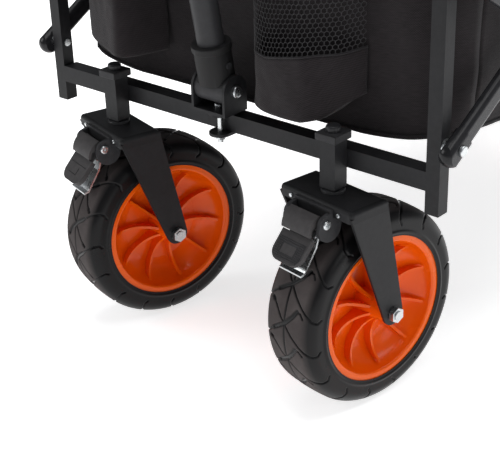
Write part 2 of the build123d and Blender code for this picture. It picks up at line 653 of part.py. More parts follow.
def handle_bracket():
    """U-shaped bracket: a base on the swivel bolt and two round-topped ears."""
    w, t, r = BRACKET_HALF_W, BRACKET_T, BRACKET_R
    y0, y1 = HANDLE_Y - r, HANDLE_Y + r
    base = block(-w, w, y0, y1, BASE_TOP_Z - t, BASE_TOP_Z)
    ear = block(w - t, w, y0, y1, BASE_TOP_Z - t, HANDLE_PIN_Z)
    ear += rod_x(w - t, w, HANDLE_Y, HANDLE_PIN_Z, r)
    for part in mirrored(ear):
        base += part
    base -= rod_z(0, HANDLE_Y, BASE_TOP_Z - 10, BASE_TOP_Z + 5, SWIVEL_BOLT_R + SWIVEL_CLEAR)
    return base - rod_x(-60, 60, HANDLE_Y, HANDLE_PIN_Z, CROSS_BOLT_R + 0.05)


def along_handle(shape):
    """Moves a shape drawn with the cross bolt at the origin and the handle up +Z."""
    return Pos(0, HANDLE_Y, HANDLE_PIN_Z) * Rot(HANDLE_LEAN, 0, 0) * shape


def cross_bolt():
    w = BRACKET_HALF_W
    bolt = rod_x(-w - 5.0, w, HANDLE_Y, HANDLE_PIN_Z, CROSS_BOLT_R)
    head = fillet(rod_x(w, w + 4.2, HANDLE_Y, HANDLE_PIN_Z, 6.4).edges().group_by(Axis.X)[-1], 1.8)
    return bolt + head + hex_x(-w - 6.5, -w, HANDLE_Y, HANDLE_PIN_Z, 7.2)


def handle_socket():
    half = BRACKET_HALF_W - BRACKET_T - RUN_CLEAR
    body = rod_x(-half, half, 0, 0, SOCKET_BARREL_R)
    body += rod_z(0, 0, SOCKET_START, SOCKET_H, SOCKET_R)
    body += fillet(rod_z(0, 0, SOCKET_H - 5, SOCKET_H + 2, SOCKET_COLLAR_R).edges(), 1.0)
    body -= rod_z(0, 0, LOWER_TUBE_START - 0.1, SOCKET_H + 10, LOWER_TUBE_R + 0.05)
    body -= rod_x(-60, 60, 0, 0, CROSS_BOLT_R + PIN_CLEAR)
    return along_handle(body - rod_x(SOCKET_R - 6, 40, 0, 28, 1.75))


def socket_screw():
    shaft = rod_x(LOWER_TUBE_R + 0.1, SOCKET_R, 0, 28, 1.7)
    return along_handle(shaft + rod_x(SOCKET_R - 0.1, SOCKET_R + 1.6, 0, 28, 3.4))


def round_tube_z(z0, z1, r, wall):
    return rod_z(0, 0, z0, z1, r) - rod_z(0, 0, z0 - 1, z1 + 1, r - wall)


def lower_tube():
    tube = round_tube_z(LOWER_TUBE_START, LOWER_TUBE_END, LOWER_TUBE_R, LOWER_TUBE_WALL)
    return along_handle(tube - button_hole())


def button_hole():
    hole = rod_z(0, 0, UPPER_TUBE_R + 0.1, 60, BUTTON_R + RUN_CLEAR)
    return Pos(0, 0, LOWER_TUBE_END - 14) * Rot(90, 0, 0) * hole


def tube_collar():
    """Plastic bush over the lower tube's mouth, bored for the upper tube."""
    top = LOWER_TUBE_END + 6
    body = rod_z(0, 0, top - COLLAR_H, top, COLLAR_R)
    body = fillet(body.edges(), 1.6)
    body -= rod_z(0, 0, top - COLLAR_H - 1, LOWER_TUBE_END + 0.05, LOWER_TUBE_R + 0.05)
    body -= rod_z(0, 0, LOWER_TUBE_END - 1, top + 1, UPPER_TUBE_R + RUN_CLEAR)
    return along_handle(body - button_hole())


def lock_button():
    button = rod_z(0, 0, UPPER_TUBE_R + RUN_CLEAR + BUTTON_TRAVEL, COLLAR_R + 3.2, BUTTON_R)
    button = fillet(button.edges().group_by(Axis.Z)[-1], 1.2)
    return along_handle(Pos(0, 0, LOWER_TUBE_END - 14) * Rot(90, 0, 0) * button)


def upper_tube():
    return along_handle(round_tube_z(UPPER_TUBE_START, UPPER_TUBE_END, UPPER_TUBE_R, UPPER_TUBE_WALL))


def handle_grip():
    """D-shaped loop with a neck that the upper tube enters."""
    loop = Rot(90, 0, 0) * extrude(SlotOverall(GRIP_W, GRIP_H), GRIP_BAR_R, both=True)
    loop = fillet(loop.edges(), 9.0)
    hole = Rot(90, 0, 0) * extrude(SlotOverall(GRIP_HOLE_W, GRIP_HOLE_H), 40, both=True)
    loop = Pos(0, 0, GRIP_MID) * (loop - Pos(0, 0, 0) * hole)
    neck_low = UPPER_TUBE_END - 30
    neck = rod_z(0, 0, neck_low, UPPER_TUBE_END + 4, UPPER_TUBE_R + 3.6)
    whole = loop + fillet(neck.edges().group_by(Axis.Z)[0], 1.5)
    return along_handle(whole - rod_z(0, 0, neck_low - 1, UPPER_TUBE_END + 0.05, UPPER_TUBE_R + 0.05))


# ---- bag: plain closed solids at the fabric's size and place ----

def end_panel(y0, bar_y0, toward):
    """End panel with the sleeve that hangs it on the top crossbar; toward is the bar's side."""
    x = BAG_HALF_W - BAG_CORNER
    panel = block(-x, x, y0, y0 + FABRIC_T, BAG_FLOOR_Z, BAG_RIM_Z)
    half = POST_X - POST_SIZE / 2 - 20.0
    gap = RUN_CLEAR + HEM_T
    sleeve = block(-half, half, bar_y0 - gap, bar_y0 + BAR_SIZE + gap, TOP_BAR_Z - gap, TOP_BAR_Z + BAR_SIZE + gap)
    sleeve -= block(-x, x, bar_y0 - RUN_CLEAR, bar_y0 + BAR_SIZE + RUN_CLEAR,
                    TOP_BAR_Z - RUN_CLEAR, TOP_BAR_Z + BAR_SIZE + RUN_CLEAR)
    near, far = sorted((bar_y0 + BAR_SIZE / 2 - toward * (BAR_SIZE / 2 + gap - 0.1), y0 + FABRIC_T / 2))
    web = block(-half, half, near, far, TOP_BAR_Z - gap, TOP_BAR_Z - RUN_CLEAR)
    return panel + sleeve + web


def bag_sides():
    y0, y1 = BAG_FRONT_Y + 4.0, BAG_REAR_Y - 4.0
    side = block(BAG_HALF_W - FABRIC_T, BAG_HALF_W, y0, y1, BAG_FLOOR_Z, BAG_RIM_Z)
    return mirrored(side)


def bag_floor():
    x = BAG_HALF_W - FABRIC_T - 0.3
    y0, y1 = BAG_FRONT_Y + FABRIC_T + 0.3, BAG_REAR_Y - FABRIC_T - 0.3
    return block(-x, x, y0, y1, BAG_FLOOR_Z, BAG_FLOOR_Z + FABRIC_T)


def pocket(x, reach, low, high, cut=(0.0, 0.0)):
    """Open-topped pouch on the front panel; cut slopes its floor up at the outer end."""
    z0, z1 = POST_Z + low, POST_Z + high
    y0 = BAG_FRONT_Y - reach
    pouch = block(x[0], x[1], y0, BAG_FRONT_Y, z0, z1)
    pouch = fillet(pouch.edges().filter_by(Axis.Z).group_by(Axis.Y)[0], 16.0)
    w = POCKET_WALL
    inside = block(x[0] + w, x[1] - w, y0 + w, BAG_FRONT_Y - w / 2, z0 + w, z1 + 1)
    inside = fillet(inside.edges().filter_by(Axis.Z).group_by(Axis.Y)[0], 14.0)
    if cut[0] > 0:
        pouch -= corner_wedge(x[1] + 1, z0 - 1, cut, 0.0)
        inside -= corner_wedge(x[1] + 1, z0 - 1, cut, w)
    return pouch - inside


def corner_wedge(x, z, cut, lift):
    """Wedge below the slope of a pocket's floor, its right angle at x, z."""
    run, rise = cut[0] + lift * 1.6, cut[1] + lift * 1.6
    corners = [(x, z), (x - run, z), (x, z + rise)]
    face = make_face(Polyline(*[(px, -200, pz) for px, pz in corners], close=True))
    return extrude(face, 400, dir=(0, 1, 0))


# ---- everything, by node ----

def build():
    nodes = {}
    front_y, rear_y = POST_MID_Y, REAR_POST_MID_Y
    fronts = [(side * STEM_X, STEM_Y) for side in (-1, 1)]
    rears = [(side * STEM_X, REAR_STEM_Y) for side in (-1, 1)]

    nodes["front_posts"] = posts(front_y)
    nodes["front_crossbars"] = crossbars(0.0) + handle_lugs()
    nodes["front_caps"] = post_caps(front_y) + [stem_cap(*p) for p in fronts]
    nodes["caster_stems"] = [stem(*p) for p in fronts]
    nodes["caster_kingpins"] = [kingpin(*p) for p in fronts] + [swivel_ring(*p) for p in fronts]
    nodes["front_link_pins"] = low_pins(front_y, 1)
    nodes["handle_swivel_bolt"] = [swivel_bolt(), swivel_washer()]
    nodes["bag_front_panel"] = [end_panel(BAG_FRONT_Y, 0.0, -1)]
    nodes["bag_side_panels"] = bag_sides()
    nodes["bag_floor"] = [bag_floor()]
    nodes["cup_pocket"] = [pocket(**CUP_POCKET)]
    nodes["mesh_pocket"] = [pocket(**MESH_POCKET, cut=MESH_POCKET_CUT)]

    for side, name in ((-1, "left"), (1, "right")):
        nodes[f"caster_fork_{name}"] = [at_caster(side, fork())]
        nodes[f"brake_housing_{name}"] = [at_caster(side, brake_housing())]
        nodes[f"brake_fixings_{name}"] = [at_caster(side, s) for s in brake_fixings()]
        nodes[f"brake_pedal_{name}"] = [at_caster(side, pedal())]
        nodes[f"brake_plate_{name}"] = [at_caster(side, brake_plate())]
        nodes[f"brake_release_{name}"] = [at_caster(side, release_tab())]
        nodes[f"front_axle_{name}"] = [at_caster(side, s) for s in axle()]
        nodes[f"front_tyre_{name}"] = [at_caster(side, axle_height(tyre()))]
        nodes[f"front_rim_{name}"] = [at_caster(side, standing_rim(side))]
        nodes[f"rear_tyre_{name}"] = [at_rear(side, axle_height(tyre()))]
        nodes[f"rear_rim_{name}"] = [at_rear(side, standing_rim(side))]

    nodes["rear_posts"] = posts(rear_y)
    nodes["rear_crossbars"] = crossbars(REAR_BAR_Y) + [stem(*p) for p in rears]
    nodes["rear_caps"] = post_caps(rear_y) + [stem_cap(*p) for p in rears]
    nodes["rear_kingpins"] = [kingpin(*p) for p in rears] + [swivel_ring(*p) for p in rears]
    nodes["rear_forks"] = [at_rear(side, fork()) for side in (-1, 1)]
    nodes["rear_axles"] = [at_rear(side, s) for side in (-1, 1) for s in axle()]
    nodes["rear_link_pins"] = low_pins(rear_y, 3)
    nodes["bag_rear_panel"] = [end_panel(BAG_REAR_Y - FABRIC_T, REAR_BAR_Y, 1)]

    tubes, caps = link(1)
    nodes["front_lower_links"] = tubes
    nodes["front_lower_link_caps"] = caps
    nodes["front_link_bolts"] = mirrored(crossing_pin(CROSS_FRONT)) + mirrored(top_centre_pin())
    tubes, caps = link(2)
    nodes["front_upper_links"] = tubes + caps
    nodes["centre_cross_tube"] = [low_cross_tube()]
    tubes, caps = link(3)
    nodes["rear_lower_links"] = tubes + caps
    nodes["rear_link_bolts"] = mirrored(crossing_pin(CROSS_REAR))
    tubes, caps = link(4)
    nodes["rear_upper_links"] = tubes + caps
    nodes["front_sliders"] = slider(front_y, 2)
    nodes["rear_sliders"] = slider(rear_y, 4)

    nodes["handle_bracket"] = [handle_bracket()]
    nodes["handle_cross_bolt"] = [cross_bolt()]
    nodes["handle_socket"] = [handle_socket(), socket_screw()]
    nodes["handle_lower_tube"] = [lower_tube()]
    nodes["handle_collar"] = [tube_collar()]
    nodes["handle_lock_button"] = [lock_button()]
    nodes["handle_upper_tube"] = [upper_tube()]
    nodes["handle_grip"] = [handle_grip()]
    return nodes


NODES = build()
all_solids = [solid for group in NODES.values() for s in group for solid in s.solids()]
whole_box = Compound(children=all_solids).bounding_box()
SHIFT_Y = -(whole_box.min.Y + whole_box.max.Y) / 2

os.makedirs("parts", exist_ok=True)
for node, shapes in NODES.items():
    solids = [Pos(0, SHIFT_Y, 0) * solid for s in shapes for solid in s.solids()]
    export_step(Compound(children=solids), f"parts/{node}.step")
print(len(NODES), "nodes; y shift", round(SHIFT_Y, 3), "box", whole_box.min, whole_box.max)
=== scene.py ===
import math

import bpy
import numpy as np
from mathutils import Matrix, Vector, noise
from mathutils.bvhtree import BVHTree


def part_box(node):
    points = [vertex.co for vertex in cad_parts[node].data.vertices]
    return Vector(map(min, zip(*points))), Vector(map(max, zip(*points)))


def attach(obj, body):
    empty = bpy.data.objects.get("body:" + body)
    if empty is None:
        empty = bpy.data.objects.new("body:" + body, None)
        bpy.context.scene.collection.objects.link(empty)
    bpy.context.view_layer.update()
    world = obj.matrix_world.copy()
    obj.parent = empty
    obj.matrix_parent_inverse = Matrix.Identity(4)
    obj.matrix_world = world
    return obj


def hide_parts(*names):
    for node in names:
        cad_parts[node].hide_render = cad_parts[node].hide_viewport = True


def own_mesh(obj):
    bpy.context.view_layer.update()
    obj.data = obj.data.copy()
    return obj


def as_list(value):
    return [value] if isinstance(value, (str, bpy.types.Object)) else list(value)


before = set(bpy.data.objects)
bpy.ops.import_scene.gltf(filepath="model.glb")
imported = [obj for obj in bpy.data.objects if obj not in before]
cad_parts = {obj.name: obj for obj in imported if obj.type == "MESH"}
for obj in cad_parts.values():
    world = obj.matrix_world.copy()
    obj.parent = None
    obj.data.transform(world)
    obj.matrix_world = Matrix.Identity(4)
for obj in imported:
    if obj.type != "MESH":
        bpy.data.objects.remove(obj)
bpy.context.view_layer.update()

MM = 0.001

# The cart's own datum: middle of the cart, front face of the front posts, foot of the posts.
FRONT_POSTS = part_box("front_posts")
DATUM = Vector((0, FRONT_POSTS[0].y, FRONT_POSTS[0].z))
REAR_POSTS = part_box("rear_posts")
CASTER_SWIVEL = {"left": -14.9, "right": -8.3}   # how far each caster stands turned, degrees


def at(x, y, z):
    """A point given in millimetres from the datum, in the row frame's metres."""
    return DATUM + Vector((x, y, z)) * MM


# ---------------------------------------------------------------- shader helpers

def group(name, inputs, outputs):
    """A new shader node group with its sockets: (name, type, default) in, (name, type) out."""
    tree = bpy.data.node_groups.new(name, "ShaderNodeTree")
    for label, kind, default in inputs:
        socket = tree.interface.new_socket(label, in_out="INPUT", socket_type=kind)
        socket.default_value = default
    for label, kind in outputs:
        tree.interface.new_socket(label, in_out="OUTPUT", socket_type=kind)
    return tree, tree.nodes.new("NodeGroupInput"), tree.nodes.new("NodeGroupOutput")


def math_node(tree, operation, a, b=None, clamp=False):
    """A math node on sockets or plain values."""
    node = tree.nodes.new("ShaderNodeMath")
    node.operation = operation
    node.use_clamp = clamp
    for socket, value in zip(node.inputs, (a, b)):
        if value is None:
            continue
        if hasattr(value, "is_linked"):
            tree.links.new(value, socket)
        else:
            socket.default_value = value
    return node.outputs[0]


def noise_node(tree, vector, scale, detail=3.0, roughness=0.55):
    node = tree.nodes.new("ShaderNodeTexNoise")
    tree.links.new(vector, node.inputs["Vector"])
    if hasattr(scale, "is_linked"):
        tree.links.new(scale, node.inputs["Scale"])
    else:
        node.inputs["Scale"].default_value = scale
    node.inputs["Detail"].default_value = detail
    node.inputs["Roughness"].default_value = roughness
    return node.outputs["Fac"]


def ramp_node(tree, value, low, high, out_low=0.0, out_high=1.0):
    node = tree.nodes.new("ShaderNodeMapRange")
    node.inputs["From Min"].default_value = low
    node.inputs["From Max"].default_value = high
    node.inputs["To Min"].default_value = out_low
    node.inputs["To Max"].default_value = out_high
    tree.links.new(value, node.inputs["Value"])
    return node.outputs["Result"]


def mix_color(tree, factor, a, b, blend="MIX"):
    node = tree.nodes.new("ShaderNodeMix")
    node.data_type = "RGBA"
    node.blend_type = blend
    for socket, value in ((node.inputs["Factor"], factor), (node.inputs[6], a), (node.inputs[7], b)):
        if hasattr(value, "is_linked"):
            tree.links.new(value, socket)
        else:
            socket.default_value = value
    return node.outputs[2]


def make_coating_grain():
    """Fine orange-peel grain with a slow cloudiness, for powder coat and moulded plastic."""
    tree, given, out = group("coating_grain",
                             [("Grain Size", "NodeSocketFloat", 900.0),
                              ("Cloud Size", "NodeSocketFloat", 14.0)],
                             [("Grain", "NodeSocketFloat"), ("Cloud", "NodeSocketFloat")])
    place = tree.nodes.new("ShaderNodeTexCoord").outputs["Object"]
    tree.links.new(noise_node(tree, place, given.outputs["Grain Size"], 2.0), out.inputs["Grain"])
    tree.links.new(noise_node(tree, place, given.outputs["Cloud Size"], 4.0, 0.6), out.inputs["Cloud"])
    return tree


def make_edge_wear():
    """Mask of worn convex edges, broken up by noise."""
    tree, given, out = group("edge_wear",
                             [("Low", "NodeSocketFloat", 0.53), ("High", "NodeSocketFloat", 0.62)],
                             [("Mask", "NodeSocketFloat")])
    geometry = tree.nodes.new("ShaderNodeNewGeometry")
    place = tree.nodes.new("ShaderNodeTexCoord").outputs["Object"]
    broken = noise_node(tree, place, 160.0, 4.0, 0.7)
    edge = tree.nodes.new("ShaderNodeMapRange")
    tree.links.new(geometry.outputs["Pointiness"], edge.inputs["Value"])
    tree.links.new(given.outputs["Low"], edge.inputs["From Min"])
    tree.links.new(given.outputs["High"], edge.inputs["From Max"])
    mask = math_node(tree, "MULTIPLY", edge.outputs["Result"], broken, clamp=True)
    tree.links.new(mask, out.inputs["Mask"])
    return tree


def make_plain_weave():
    """Woven threads over UVs in metres: their height, a per-thread tone and a slow fading."""
    tree, given, out = group("plain_weave",
                             [("Threads per Metre", "NodeSocketFloat", 1100.0)],
                             [("Height", "NodeSocketFloat"), ("Tone", "NodeSocketFloat"),
                              ("Fade", "NodeSocketFloat")])
    uv = tree.nodes.new("ShaderNodeTexCoord").outputs["UV"]
    split = tree.nodes.new("ShaderNodeSeparateXYZ")
    tree.links.new(uv, split.inputs[0])
    waves = []
    for axis in ("X", "Y"):
        turns = math_node(tree, "MULTIPLY", split.outputs[axis], given.outputs["Threads per Metre"])
        waves.append(math_node(tree, "MULTIPLY", turns, math.pi))
    across = math_node(tree, "SINE", waves[0])
    along = math_node(tree, "SINE", waves[1])
    over = math_node(tree, "MULTIPLY", across, along)
    lift = math_node(tree, "ABSOLUTE", over)
    tree.links.new(lift, out.inputs["Height"])
    stretch = tree.nodes.new("ShaderNodeMapping")
    stretch.inputs["Scale"].default_value = (90.0, 900.0, 1.0)
    tree.links.new(uv, stretch.inputs["Vector"])
    slub = noise_node(tree, stretch.outputs[0], 1.0, 3.0, 0.7)
    tree.links.new(math_node(tree, "ADD", slub, math_node(tree, "MULTIPLY", over, 0.25)), out.inputs["Tone"])
    tree.links.new(noise_node(tree, uv, 9.0, 4.0, 0.6), out.inputs["Fade"])
    return tree


def make_dust():
    """Sparse pale specks and a faint veil of dust."""
    tree, given, out = group("dust", [("Speck Size", "NodeSocketFloat", 420.0)],
                             [("Specks", "NodeSocketFloat"), ("Veil", "NodeSocketFloat")])
    place = tree.nodes.new("ShaderNodeTexCoord").outputs["Object"]
    specks = tree.nodes.new("ShaderNodeTexVoronoi")
    tree.links.new(place, specks.inputs["Vector"])
    tree.links.new(given.outputs["Speck Size"], specks.inputs["Scale"])
    near = ramp_node(tree, specks.outputs["Distance"], 0.16, 0.08)
    rare = ramp_node(tree, noise_node(tree, place, 130.0, 2.0), 0.62, 0.7)
    tree.links.new(math_node(tree, "MULTIPLY", near, rare), out.inputs["Specks"])
    tree.links.new(ramp_node(tree, noise_node(tree, place, 26.0, 5.0, 0.65), 0.42, 0.75), out.inputs["Veil"])
    return tree


COATING_GRAIN = make_coating_grain()
EDGE_WEAR = make_edge_wear()
PLAIN_WEAVE = make_plain_weave()
DUST = make_dust()


class Finish:
    """One material being wired: its tree, its Principled shader and the effects placed in it."""

    def __init__(self, name, **sockets):
        self.material = bpy.data.materials.new(name)
        self.material.use_nodes = True
        self.tree = self.material.node_tree
        self.shader = self.tree.nodes["Principled BSDF"]
        for label, value in sockets.items():
            self.shader.inputs[label.replace("_", " ")].default_value = value

    def place(self, effect, **values):
        node = self.tree.nodes.new("ShaderNodeGroup")
        node.node_tree = effect
        for label, value in values.items():
            node.inputs[label.replace("_", " ")].default_value = value
        return node.outputs

    def feed(self, socket, value):
        self.tree.links.new(value, self.shader.inputs[socket])

    def bump(self, height, distance, strength=1.0, below=None):
        node = self.tree.nodes.new("ShaderNodeBump")
        node.inputs["Distance"].default_value = distance
        node.inputs["Strength"].default_value = strength
        self.tree.links.new(height, node.inputs["Height"])
        if below is not None:
            self.tree.links.new(below, node.inputs["Normal"])
        self.tree.links.new(node.outputs[0], self.shader.inputs["Normal"])
        return node.outputs[0]


def coated(name, dark, light, rough, grain_size, grain_depth, wear_colour, wear_share):
    """Paint or moulded plastic: two close tones, varying gloss, fine grain, worn edges."""
    finish = Finish(name, Specular_IOR_Level=0.22)
    grain = finish.place(COATING_GRAIN, Grain_Size=grain_size)
    tone = mix_color(finish.tree, ramp_node(finish.tree, grain["Cloud"], 0.3, 0.7), dark, light)
    wear = finish.place(EDGE_WEAR)
    share = math_node(finish.tree, "MULTIPLY", wear["Mask"], wear_share)
    finish.feed("Base Color", mix_color(finish.tree, share, tone, wear_colour))
    finish.feed("Roughness", ramp_node(finish.tree, grain["Cloud"], 0.25, 0.75, rough[0], rough[1]))
    finish.bump(grain["Grain"], grain_depth, 0.6)
    return finish


def plated_steel(name, colour, rough):
    """Bright zinc plate: faint yellow and blue clouds and fine tool marks."""
    finish = Finish(name, Metallic=1.0)
    grain = finish.place(COATING_GRAIN, Grain_Size=1500.0, Cloud_Size=120.0)
    cool = (colour[0] * 0.86, colour[1] * 0.93, colour[2] * 1.02, 1)
    finish.feed("Base Color", mix_color(finish.tree, grain["Cloud"], colour, cool))
    finish.feed("Roughness", ramp_node(finish.tree, grain["Cloud"], 0.3, 0.7, rough - 0.06, rough + 0.08))
    finish.bump(grain["Grain"], 0.00006, 0.5)
    return finish


def woven(name, dark, light, threads, depth):
    """Coarse woven polyester with thread relief, slubs and a little fading."""
    finish = Finish(name, Specular_IOR_Level=0.2, Sheen_Weight=0.08, Sheen_Roughness=0.5)
    weave = finish.place(PLAIN_WEAVE, Threads_per_Metre=threads)
    thread = mix_color(finish.tree, ramp_node(finish.tree, weave["Tone"], 0.25, 0.85), dark, light)
    fading = ramp_node(finish.tree, weave["Fade"], 0.35, 0.75, 0.0, 0.35)
    finish.feed("Base Color", mix_color(finish.tree, fading, thread, light))
    finish.feed("Roughness", ramp_node(finish.tree, weave["Tone"], 0.2, 0.8, 0.9, 0.74))
    finish.bump(weave["Height"], depth, 0.8)
    return finish


def tread_rubber():
    """Moulded rubber: matt and dusty on the tread's face, darker and smoother at the sides; the tread's cuts
    take the dark side tone as painted shade.
    """
    finish = Finish("tyre_rubber", Specular_IOR_Level=0.18)
    tree = finish.tree
    grain = finish.place(COATING_GRAIN, Grain_Size=1300.0, Cloud_Size=22.0)
    dust = finish.place(DUST)
    face_and_cut_shade_mask = tree.nodes.new("ShaderNodeAttribute")
    face_and_cut_shade_mask.attribute_name = "dusty_face_and_cut_shade"
    side = mix_color(tree, grain["Cloud"], (0.004, 0.004, 0.0045, 1), (0.007, 0.0065, 0.007, 1))
    face = mix_color(tree, dust["Veil"], (0.054, 0.045, 0.044, 1), (0.084, 0.072, 0.07, 1))
    # The dusty face's tone over the dark side tone; in the cuts the side tone stands as painted shade.
    skin = mix_color(tree, face_and_cut_shade_mask.outputs["Fac"], side, face)
    specks = math_node(tree, "MULTIPLY", dust["Specks"], face_and_cut_shade_mask.outputs["Fac"])
    speck_share = math_node(tree, "MULTIPLY", specks, 0.5)
    finish.feed("Base Color", mix_color(tree, speck_share, skin, (0.3, 0.28, 0.26, 1)))
    gloss = ramp_node(tree, face_and_cut_shade_mask.outputs["Fac"], 0.0, 1.0, 0.3, 0.74)
    cloud = ramp_node(tree, grain["Cloud"], 0.3, 0.7, -0.05, 0.06)
    finish.feed("Roughness", math_node(tree, "ADD", gloss, cloud))
    finish.bump(grain["Grain"], 0.00012, 0.5)
    return finish


def moulded_orange():
    """Glossy orange polypropylene with faint flow marks."""
    finish = Finish("rim_orange", Specular_IOR_Level=0.2, Coat_Weight=0.12, Coat_Roughness=0.08)
    grain = finish.place(COATING_GRAIN, Grain_Size=700.0, Cloud_Size=18.0)
    finish.feed("Base Color", mix_color(finish.tree, ramp_node(finish.tree, grain["Cloud"], 0.3, 0.7),
                                        (0.84, 0.1, 0.001, 1), (0.9, 0.125, 0.0015, 1)))
    finish.feed("Roughness", ramp_node(finish.tree, grain["Cloud"], 0.3, 0.7, 0.2, 0.3))
    finish.bump(grain["Grain"], 0.00005, 0.5)
    return finish


POWDER_BLACK = coated("powder_coat_black", (0.006, 0.006, 0.0065, 1), (0.01, 0.01, 0.011, 1), (0.42, 0.55),
                      1100.0, 0.00012, (0.06, 0.06, 0.065, 1), 0.3)
GLOSS_BLACK = coated("gloss_paint_black", (0.008, 0.008, 0.009, 1), (0.014, 0.014, 0.015, 1), (0.16, 0.26),
                     500.0, 0.00005, (0.08, 0.08, 0.09, 1), 0.3)
HANDLE_PAINT = coated("handle_paint_black", (0.02, 0.02, 0.021, 1), (0.028, 0.028, 0.03, 1), (0.4, 0.5),
                      900.0, 0.00006, (0.1, 0.1, 0.11, 1), 0.2)
NYLON_BLACK = coated("moulded_nylon_black", (0.01, 0.01, 0.0105, 1), (0.017, 0.0165, 0.017, 1), (0.5, 0.62),
                     1400.0, 0.00015, (0.11, 0.11, 0.12, 1), 0.4)
PEDAL_GREY = coated("pedal_nylon_grey", (0.022, 0.021, 0.022, 1), (0.034, 0.032, 0.033, 1), (0.5, 0.64),
                    1500.0, 0.00015, (0.14, 0.13, 0.13, 1), 0.4)
ZINC = plated_steel("zinc_plate", (0.62, 0.62, 0.6, 1), 0.27)
BLACK_OXIDE = coated("black_oxide_bolt", (0.02, 0.02, 0.022, 1), (0.032, 0.032, 0.034, 1), (0.26, 0.4),
                     1000.0, 0.00006, (0.2, 0.2, 0.2, 1), 0.6)
TYRE_RUBBER = tread_rubber()
RIM_ORANGE = moulded_orange()
BAG_CLOTH = woven("bag_woven_cloth", (0.006, 0.0048, 0.0052, 1), (0.024, 0.019, 0.021, 1), 900.0, 0.00022)
BINDING = woven("bag_binding_tape", (0.012, 0.011, 0.012, 1), (0.03, 0.028, 0.03, 1), 1500.0, 0.00012)
NET_CORD = woven("pocket_net_cord", (0.02, 0.019, 0.02, 1), (0.055, 0.052, 0.055, 1), 2600.0, 0.00005)

NODE_FINISH = {
    POWDER_BLACK: ["front_posts", "front_crossbars", "caster_stems", "rear_posts", "rear_crossbars",
                   "rear_forks", "caster_fork_left", "caster_fork_right", "handle_bracket",
                   "centre_cross_tube"],
    GLOSS_BLACK: ["front_lower_links", "front_upper_links", "rear_lower_links", "rear_upper_links",
                  "front_lower_link_caps"],
    HANDLE_PAINT: ["handle_lower_tube", "handle_upper_tube"],
    NYLON_BLACK: ["front_caps", "rear_caps", "front_sliders", "rear_sliders", "handle_socket",
                  "handle_collar", "handle_grip", "handle_lock_button", "brake_housing_left",
                  "brake_housing_right"],
    PEDAL_GREY: ["brake_pedal_left", "brake_pedal_right", "brake_release_left", "brake_release_right"],
    ZINC: ["front_axle_left", "front_axle_right", "rear_axles", "brake_fixings_left", "brake_fixings_right",
           "brake_plate_left", "brake_plate_right", "handle_swivel_bolt", "handle_cross_bolt",
           "front_link_pins", "rear_link_pins", "front_link_bolts", "rear_link_bolts"],
    BLACK_OXIDE: ["caster_kingpins", "rear_kingpins"],
    RIM_ORANGE: ["front_rim_left", "front_rim_right", "rear_rim_left", "rear_rim_right"],
}


def dress_frame_nodes():
    """Gives every kept CAD node its finish."""
    for finish, nodes in NODE_FINISH.items():
        for name in nodes:
            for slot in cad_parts[name].material_slots:
                slot.material = finish.material


# ---------------------------------------------------------------- mesh helpers

def mesh_piece(name, points, faces, finish, uv=None, smooth=True):
    """A new mesh object with its finish, and UVs in metres where given."""
    mesh = bpy.data.meshes.new(name)
    mesh.from_pydata([tuple(p) for p in points], [], faces)
    if uv is not None:
        layer = mesh.uv_layers.new(name="UVMap")
        loop_points = np.empty(len(mesh.loops), dtype=np.int32)
        mesh.loops.foreach_get("vertex_index", loop_points)
        layer.data.foreach_set("uv", np.asarray(uv, dtype=np.float32)[loop_points].ravel())
    mesh.materials.append(finish.material)
    mesh.polygons.foreach_set("use_smooth", [smooth] * len(mesh.polygons))
    piece = bpy.data.objects.new(name, mesh)
    bpy.context.collection.objects.link(piece)
    return piece


def grid_faces(rows, columns, closed=False):
    """Quads over rows x columns points; closed joins the last column to the first."""
    last = columns if closed else columns - 1
    faces = []
    for i in range(rows - 1):
        for j in range(last):
            k = (j + 1) % columns
            faces.append((i * columns + j, i * columns + k, (i + 1) * columns + k, (i + 1) * columns + j))
    return faces


def apply_modifiers(piece):
    """Bakes a piece's modifiers into its mesh."""
    evaluated = piece.evaluated_get(bpy.context.evaluated_depsgraph_get())
    mesh = bpy.data.meshes.new_from_object(evaluated)
    piece.modifiers.clear()
    piece.data = mesh
    return piece


def thicken(piece, thickness, offset=0.0):
    solid = piece.modifiers.new("thickness", "SOLIDIFY")
    solid.thickness = thickness
    solid.offset = offset
    return apply_modifiers(piece)


def tube_along(name, path, radius, finish, sides=8, closed=False):
    """A round cord or piping along a list of points."""
    path = [Vector(p) for p in path]
    count = len(path)
    rings, uvs = [], []
    run = 0.0
    up = Vector((0, 0, 1))
    for i, point in enumerate(path):
        before = path[i - 1] if i or closed else path[0]
        after = path[(i + 1) % count] if i < count - 1 or closed else path[-1]
        ahead = (after - before).normalized()
        across = ahead.cross(up)
        across = across.normalized() if across.length > 1e-4 else Vector((1, 0, 0))
        lift = across.cross(ahead).normalized()
        run += (point - before).length if i else 0.0
        for k in range(sides):
            turn = 2 * math.pi * k / sides
            rings.append(point + (across * math.cos(turn) + lift * math.sin(turn)) * radius)
            uvs.append((run, radius * turn))
    faces = grid_faces(count, sides, closed=True)
    if closed:
        faces += [((count - 1) * sides + k, (count - 1) * sides + (k + 1) % sides, (k + 1) % sides, k)
                  for k in range(sides)]
    else:
        faces += [tuple(range(sides))[::-1], tuple((count - 1) * sides + k for k in range(sides))]
    return mesh_piece(name, rings, faces, finish, uvs)


# ---------------------------------------------------------------- tyres

